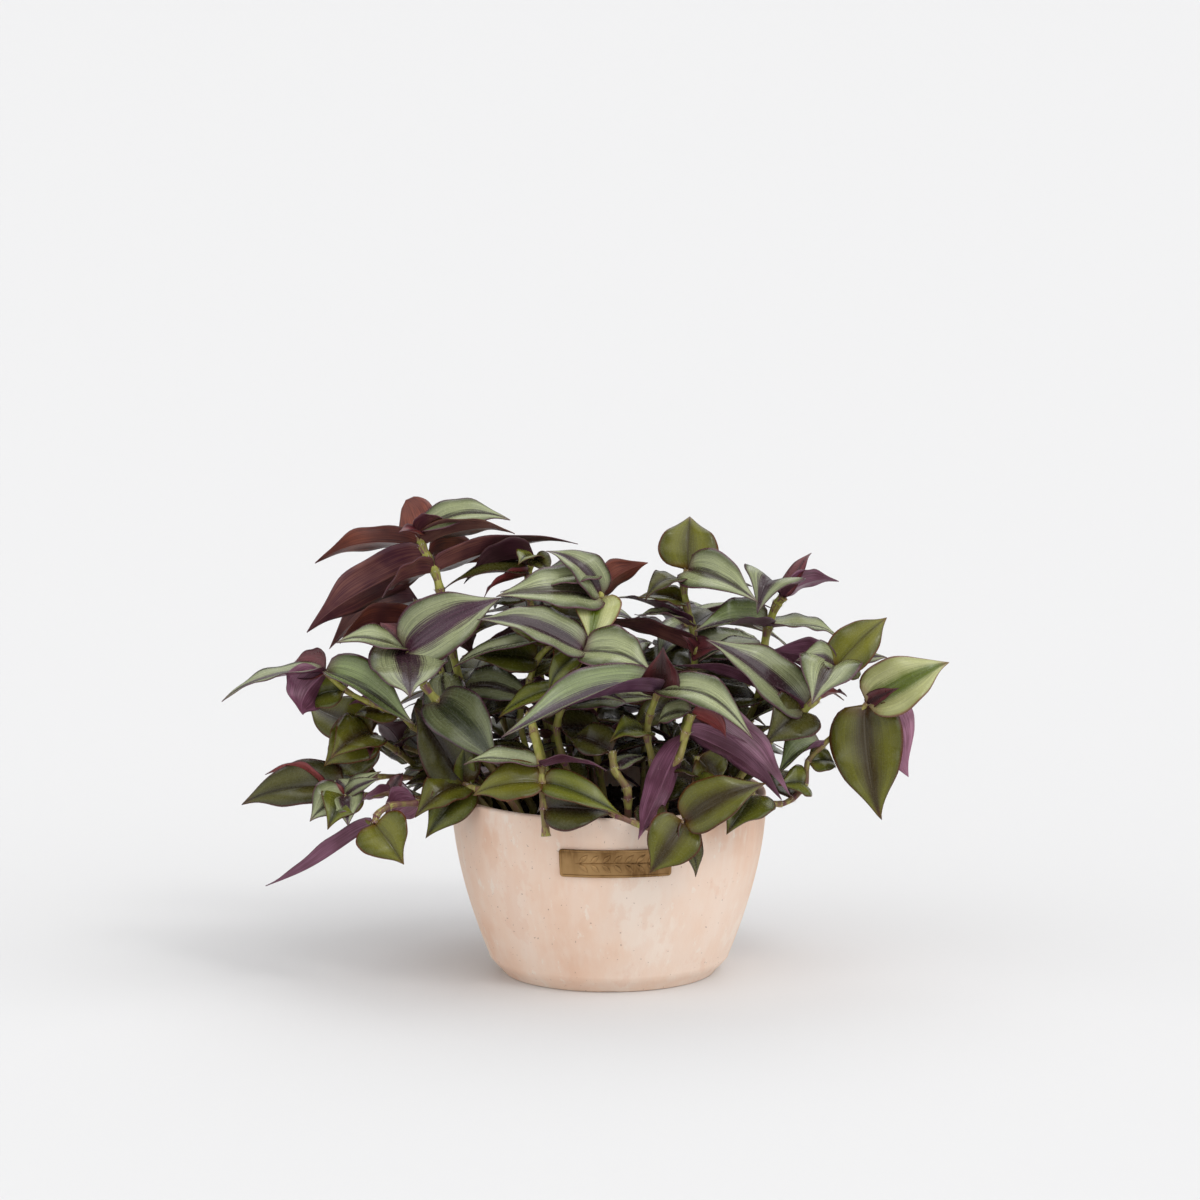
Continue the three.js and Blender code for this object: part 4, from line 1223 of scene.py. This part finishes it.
def tube(name, line, radii, finish, sides=2):
    """A round closed tube along a line, with its own radius at each point, in millimetres."""
    bpy.ops.object.add(type="CURVE")
    piece = bpy.context.object
    piece.name = name
    curve = piece.data
    curve.dimensions = "3D"
    curve.bevel_depth = mm
    curve.bevel_resolution = sides
    curve.use_fill_caps = True
    spline = curve.splines.new("POLY")
    spline.points.add(len(line) - 1)
    spline.points.foreach_set("co", np.column_stack([line * mm, np.ones(len(line))]).ravel())
    spline.points.foreach_set("radius", np.asarray(radii, float))
    spline.use_smooth = True
    activate(piece)
    bpy.ops.object.convert(target="MESH")
    piece = bpy.context.object
    piece.data.materials.clear()
    piece.data.materials.append(finish)
    return piece


def stem_tube(owner):
    joints = [spot["at"] for spot in owner["joints"]]
    foot = owner["foot"]
    root = foot - [0, 0, root_depth]
    collar = foot + [0, 0, collar_height]
    places = [root, foot, collar, *joints]
    line = smooth_line(places, steps_between_joints)
    apart = np.array([min(np.linalg.norm(point - spot) for spot in joints) for point in line])
    radii = owner["radius"] * (internode_share + joint_swell * np.exp(-((apart / joint_reach) ** 2)))
    radii[-1] *= tip_share
    stem = tube(owner["name"] + "_tube", line, radii, stem_skin)
    corners = np.array([vertex.co for vertex in stem.data.vertices]) / mm
    near = np.array([min(np.linalg.norm(corner - spot) for spot in joints) for corner in corners])
    flush_and_shade = 0.4 * np.exp(-((near / 1.6) ** 2)) + 0.2 * np.exp(-((near / 11) ** 2))
    # Painted shade: towards the foot the stem darkens more the lower it lies.
    flush_and_shade += foot_shade_share * np.clip((foot_shade_top - corners[:, 2]) / 50, 0, 1)
    stem.data.attributes.new("purple", "FLOAT", "POINT").data.foreach_set("value", flush_and_shade.astype(np.float32))
    return stem, line


def sheath_tube(owner, line, at):
    """The sheath below a joint, which hugs the stem and flares a little at its mouth."""
    spot = int(np.argmin(np.linalg.norm(line - at, axis=1)))
    lengths = np.concatenate([[0], np.cumsum(np.linalg.norm(np.diff(line, axis=0), axis=1))])
    top = lengths[spot]
    marks = np.linspace(top - sheath_length, top + 0.8, len(sheath_flare))
    points = np.column_stack([np.interp(marks, lengths, line[:, axis]) for axis in range(3)])
    radii = owner["radius"] * sheath_flare
    return tube(owner["name"] + "_sheath", points, radii, sheath_skin), points


hairs_in_ring = 14
hair_length = 1.7
hair_radius = 0.07
hair_rng = np.random.default_rng(3)
ring_hairs = []
for k in range(hairs_in_ring):
    bpy.ops.mesh.primitive_cone_add(vertices=3, radius1=hair_radius, radius2=0, depth=hair_length)
    hair = bpy.context.object
    turn = 2 * math.pi * (k + hair_rng.uniform(-0.3, 0.3)) / hairs_in_ring
    lean = Vector((math.cos(turn), math.sin(turn), hair_rng.uniform(0.3, 1.6))).normalized()
    root = Vector((math.cos(turn), math.sin(turn), hair_rng.uniform(-1.6, 0.1)))
    hair.scale.z = hair_rng.uniform(0.6, 1.25)
    hair.rotation_euler = lean.to_track_quat("Z", "Y").to_euler()
    hair.location = root + lean * hair_length / 2 * hair.scale.z
    ring_hairs.append(hair)
activate(ring_hairs[0])
for hair in ring_hairs:
    hair.select_set(True)
bpy.ops.object.transform_apply(location=True, rotation=True, scale=True)
bpy.ops.object.join()
hair_ring = bpy.context.object
hair_ring.name = "hair_ring"
hair_ring.data.materials.append(hair_finish)
hair_places = np.array([vertex.co for vertex in hair_ring.data.vertices])


def hairs(name, centre, axis, radius, turn):
    """A copy of the ring of hairs at a sheath's mouth, turned about the stem."""
    axis = axis / np.linalg.norm(axis)
    first = np.cross(axis, [0.3, 0.5, 0.8])
    first /= np.linalg.norm(first)
    second = np.cross(axis, first)
    spun = first * math.cos(turn) + second * math.sin(turn)
    frame_of_stem = np.array([spun, np.cross(axis, spun), axis])
    from_axis = np.linalg.norm(hair_places[:, :2], axis=1, keepdims=True)
    drawn_in = hair_places.copy()
    drawn_in[:, :2] *= (from_axis - 1 + radius) / from_axis
    return add_mesh(name, centre + drawn_in @ frame_of_stem, None, hair_ring, [hair_finish])


# ---- Shoots by rule ----
# Those inside and at the back, which the front view hides. The same seeded draws as in the packed
# solids give the same shoots, and a leaf is there where the solid has its corners.

drawn = 20261


def draw():
    global drawn
    drawn = (drawn * 1664525 + 1013904223) % 4294967296
    return drawn / 4294967296


def between(low, high):
    return low + (high - low) * draw()


def rule_row(place, foot_ring, reach, tall, peak, outward, bearings):
    return {
        "place": place,
        "foot_ring": foot_ring,
        "reach": reach,
        "tall": tall,
        "peak": peak,
        "outward": outward,
        "bearings": bearings,
    }


rule_rows = [
    rule_row("inner", 34, 38, 54, 1, -0.5, [60, 110, 150]),
    rule_row("back_top", 40, 58, 92, 1, 0.3, [44, 118]),
    rule_row("back_middle", 52, 84, 60, 0.9, 0.4, [32, 70, 104, 146]),
    rule_row("back_low", 64, 98, 28, 0.5, 0.6, [66, 98, 128]),
]
joint_places = [0.4, 0.62, 0.82, 1]
rule_kinds = [silver, olive, dark, silver, green, dark]
draws_for_leaf = 9


def rule_shoot(row, bearing, number):
    turn = math.radians(bearing)
    out = np.array([math.cos(turn), math.sin(turn), 0])
    joints = []
    for k, part in enumerate(joint_places):
        along = part / row["peak"]
        at = out * (row["foot_ring"] + (row["reach"] - row["foot_ring"]) * part)
        at[2] = soil_top + row["tall"] * (2 * along - along * along)
        sides = [1, -1] if part == 1 else [1 if k % 2 else -1]
        joints.append({"at": at, "sides": sides, "leaves": []})
    foot = out * row["foot_ring"] + [0, 0, soil_top]
    kind_of_leaf = rule_kinds[int(draw() * len(rule_kinds))]
    return {
        "name": f"stem_{row['place']}_{number}",
        "radius": between(1.5, 2.1),
        "foot": foot,
        "joints": joints,
        "bearing": bearing,
        "out": out,
        "outward": row["outward"],
        "kind": kind_of_leaf,
    }


rule_shoots = [
    rule_shoot(row, bearing, k + 1) for row in rule_rows for k, bearing in enumerate(row["bearings"])
]


def drawn_leaf(at, side, owner):
    turn = math.radians(owner["bearing"] + side * between(20, 85))
    reach = np.array([math.cos(turn), math.sin(turn), between(-0.35, 0.2)])
    long = between(42, 58)
    return {
        "tip": at + reach * long,
        "wide": long * between(0.42, 0.54),
        "bow": between(2, 7),
        "face": np.array([0, 0, 1]) + owner["out"] * (owner["outward"] + between(-0.2, 0.3)),
        "kind": owner["kind"],
        "small": False,
    }


# ---- Which leaves each stem has ----
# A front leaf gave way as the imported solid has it. A drawn leaf is there if the solid has it.

corners_enough = 4


def settled(base, blade, tree):
    """The way a front leaf gave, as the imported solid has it."""
    if blade["small"]:
        return np.zeros(3)
    ways = [blade["give"] * step for step in give_way]
    matches = [found(coarse_corners(base, blade, way), tree) for way in ways]
    return ways[int(np.argmax(matches))]


def grown(at, side, owner, tree):
    """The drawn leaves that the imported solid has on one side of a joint: one, or none."""
    for _ in range(draws_for_leaf):
        blade = drawn_leaf(at, side, owner)
        if found(coarse_corners(at, blade, np.zeros(3)), tree) >= corners_enough:
            return [blade]
    return []


for owner in front_shoots:
    tree = packed_corners(owner["name"])
    owner["blades"] = [
        (spot["at"], blade, settled(spot["at"], blade, tree))
        for spot in owner["joints"]
        for blade in spot["leaves"]
    ]
    leafy = [spot for spot in owner["joints"] if any(not blade["small"] for blade in spot["leaves"])]
    owner["kind"] = leafy[-1]["leaves"][0]["kind"]

for owner in rule_shoots:
    tree = packed_corners(owner["name"])
    owner["blades"] = [
        (spot["at"], blade, np.zeros(3))
        for spot in owner["joints"]
        for side in spot["sides"]
        for blade in grown(spot["at"], side, owner, tree)
    ]

all_shoots = [*front_shoots, *rule_shoots]
for owner in all_shoots:
    owner["stem"], owner["line"] = stem_tube(owner)

# ---- Leaves in the shade ----
# Older leaves on the stems fill the plant's middle. They come from seeded draws, and one is kept only
# where its plain shape touches nothing but its own stem, and neither covers a front leaf nor stands
# out of the plant. Of those drawn for a joint, the one goes first that closes most of the gaps.

shade_rows = np.array([0.12, 0.25, 0.4, 0.55, 0.7, 0.85, 1.0])
shade_sides = np.array([-1, -0.5, 0, 0.5, 1])
# Mostly the dark kinds, whose dark colour is painted shade for the deep middle of the crown.
shade_kinds = [dark, plum, dark, dark, dark, mauve, brown, dark, plum]
shade_draws = 30
shade_most = 2
shade_clearance = 0.6
far_forward = 26
long_internode = 17
gap_step = 3
crown_edge = [
    (-112, 86), (-114, 122), (-92, 140), (-84, 178), (-60, 188), (-36, 194), (0, 186), (28, 176),
    (40, 186), (66, 172), (86, 160), (100, 142), (100, 126), (88, 116), (84, 84),
]


def sheet_net(base, blade, shift):
    """A blade's two faces as a coarse net, with room round it."""
    along, up, across = blade_axes(base, blade, shift)
    fold = blade["kind"]["fold"]
    t, side = (grid.ravel()[:, None] for grid in np.meshgrid(shade_rows, shade_sides, indexing="ij"))
    half = blade["wide"] / 2 * leaf_outline(t) + shade_clearance
    rise = blade["bow"] * 4 * t * (1 - t) + abs(side) * half * math.sin(fold)
    middle = base + t * along + rise * up + side * half * math.cos(fold) * across
    corners = np.vstack([middle - shade_clearance * up, middle + shade_clearance * up])
    wide = len(shade_sides)
    faces = []
    for start in (0, len(middle)):
        for row in range(len(shade_rows) - 1):
            for k in range(wide - 1):
                here = start + row * wide + k
                faces.append((here, here + 1, here + wide + 1, here + wide))
    return corners, faces


def tube_net(piece):
    corners = np.array([vertex.co for vertex in piece.data.vertices]) / mm
    return corners, [tuple(face.vertices) for face in piece.data.polygons]


def obstacle(net, owner):
    corners, faces = net
    return {
        "low": corners.min(axis=0),
        "high": corners.max(axis=0),
        "tree": BVHTree.FromPolygons(corners.tolist(), faces),
        "owner": owner,
    }


def one_tree(nets):
    """One search tree for many nets."""
    corners, faces = [], []
    for some_corners, some_faces in nets:
        start = len(corners)
        corners += some_corners.tolist()
        faces += [tuple(k + start for k in face) for face in some_faces]
    return BVHTree.FromPolygons(corners, faces)


front_nets = [sheet_net(*leaf_and_place) for owner in front_shoots for leaf_and_place in owner["blades"]]
front_leaves = one_tree(front_nets)
stem_nets = [tube_net(owner["stem"]) for owner in all_shoots]
rule_nets = [sheet_net(*leaf_and_place) for owner in rule_shoots for leaf_and_place in owner["blades"]]
all_nets = [*front_nets, *rule_nets, *stem_nets, tube_net(pot), tube_net(soil)]
whole_plant = one_tree(all_nets)
obstacles = [obstacle(net, None) for net in [*front_nets, *rule_nets, tube_net(pot), tube_net(soil)]]
obstacles += [obstacle(net, owner["name"]) for net, owner in zip(stem_nets, all_shoots)]


def seen_places(points):
    """Where points show in the front view, across and up."""
    rays = points - eye
    forward = rays[:, 1] * math.cos(look_down) - rays[:, 2] * math.sin(look_down)
    rise = rays[:, 1] * math.sin(look_down) + rays[:, 2] * math.cos(look_down)
    across = rays[:, 0] / forward * sheet_distance + eye[0]
    return np.column_stack([across, rise / forward * sheet_distance + sheet_middle_up])


def within(edge, places):
    """Which places lie inside a closed edge."""
    x, y = places.T
    inside = np.zeros(len(x), bool)
    for (x1, y1), (x2, y2) in zip(edge, [*edge[1:], edge[0]]):
        inside ^= ((y1 > y) != (y2 > y)) & (x < x1 + (y - y1) * (x2 - x1) / (y2 - y1 or 1))
    return inside


def open_line(place):
    """Whether a sight line through the plant meets nothing."""
    look = Vector(seen(*place, 0) - eye).normalized()
    return whole_plant.ray_cast(Vector(eye), look)[3] is None


crown_grid = np.mgrid[-114:102:gap_step, 84:196:gap_step].reshape(2, -1).T
crown_grid = crown_grid[within(crown_edge, crown_grid)]
gaps = np.array([place for place in crown_grid if open_line(place)])


def keeps_back(points):
    """Whether each point is hidden from the front, or shows only in a gap inside the crown."""
    in_crown = within(crown_edge, seen_places(points))
    for point, inside in zip(points, in_crown):
        look = Vector(point - eye)
        distance = look.length
        look.normalize()
        hit = whole_plant.ray_cast(Vector(eye), look)
        if hit[3] is not None and hit[3] < distance - 0.5:
            continue
        before_a_leaf = front_leaves.ray_cast(Vector(point), look)[3] is not None
        if -point[1] > far_forward or not inside or before_a_leaf:
            return False
    return True


def touches(net, owner):
    corners, faces = net
    low, high = corners.min(axis=0), corners.max(axis=0)
    near = [
        other
        for other in obstacles
        if other["owner"] != owner["name"] and (other["low"] < high).all() and (low < other["high"]).all()
    ]
    if not near:
        return False
    tree = BVHTree.FromPolygons(corners.tolist(), faces)
    return any(tree.overlap(other["tree"]) for other in near)


shade_rng = np.random.default_rng(11)


def shade_leaf(at):
    turn = shade_rng.uniform(0, 2 * math.pi)
    reach = np.array([math.cos(turn), math.sin(turn), shade_rng.uniform(-0.45, 0.5)])
    long = shade_rng.uniform(28, 52)
    outward = np.array([at[0], at[1], 0]) / (math.hypot(at[0], at[1]) + 1)
    wide, bow = long * shade_rng.uniform(0.42, 0.56), shade_rng.uniform(2, 6)
    leaning = outward * shade_rng.uniform(0, 0.8) - [0, shade_rng.uniform(0, 0.8), 0]
    return {
        "tip": at + reach * long,
        "wide": wide,
        "bow": bow,
        "face": np.array([0, 0, 1]) + leaning,
        "kind": shade_kinds[shade_rng.integers(len(shade_kinds))],
        "small": True,
    }


def covered(net):
    """Which of the gaps a leaf's net closes."""
    middle = seen_places(net[0][: len(shade_rows) * len(shade_sides)])
    rows = middle.reshape(len(shade_rows), len(shade_sides), 2)
    return within([*rows[:, 0], *rows[::-1, -1]], gaps)


def shade_joints(owner):
    """The joints that may carry older leaves, with one more in the middle of each long internode."""
    places = [owner["foot"] + [0, 0, collar_height], *[spot["at"] for spot in owner["joints"]]]
    spots = []
    for low, high in zip(places, places[1:]):
        if np.linalg.norm(high - low) > long_internode:
            spots.append(owner["line"][np.argmin(np.linalg.norm(owner["line"] - (low + high) / 2, axis=1))])
        spots.append(high)
    return spots


for owner in all_shoots:
    owner["more_joints"], owner["shade"] = [], []
    for at in shade_joints(owner):
        drawn_here = [shade_leaf(at) for _ in range(shade_draws)]
        drawn_here = [(blade, sheet_net(at, blade, np.zeros(3))) for blade in drawn_here]
        drawn_here = [pair for pair in drawn_here if pair[0]["tip"][2] > soil_top]
        kept = 0
        while drawn_here and kept < shade_most:
            best = max(range(len(drawn_here)), key=lambda k: covered(drawn_here[k][1]).sum())
            blade, net = drawn_here.pop(best)
            if touches(net, owner) or not keeps_back(net[0][::2]):
                continue
            owner["shade"].append((at, blade, np.zeros(3)))
            obstacles.append(obstacle(net, None))
            gaps = gaps[~covered(net)]
            kept += 1
        if kept:
            owner["more_joints"].append(at)

# ---- Leafy stems put together ----
# Each is one grown thing: a stem, a sheath with hairs at each joint, and the leaves that the sheaths
# hold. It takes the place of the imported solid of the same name.

for owner in all_shoots:
    parts = [owner["stem"]]
    joints = [spot["at"] for spot in owner["joints"]]
    joints += [at for at in owner["more_joints"] if not any(at is spot for spot in joints)]
    for at in joints:
        sheath, points = sheath_tube(owner, owner["line"], at)
        turn = rng.uniform(0, 2 * math.pi)
        mouth = owner["radius"] * sheath_flare[-1]
        parts += [sheath, hairs("hairs", points[-1], points[-1] - points[-2], mouth, turn)]
    for leaves, (pattern, flat_places) in (("blades", fine_pattern), ("shade", plain_pattern)):
        for base, blade, shift in owner[leaves]:
            places, tone = finished_blade(base, blade, shift, flat_places, rng)
            parts.append(add_mesh("leaf", places, tone, pattern, blade["kind"]["finishes"]))
    activate(owner["stem"])
    for part in parts:
        part.select_set(True)
    bpy.ops.object.join()
    leafy_stem = bpy.context.object
    leafy_stem.name = owner["name"].replace("stem_", "leafy_")
    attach(leafy_stem, "root")
    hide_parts(owner["name"])

for template in (fine_pattern[0], plain_pattern[0], hair_ring):
    bpy.data.objects.remove(template)

# ---- Size ----
# The scene's box is noted beside the solids' box, since the plant keeps the size of its solids.

size = {"solids": solid_box, "scene": [list(corner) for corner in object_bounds()]}
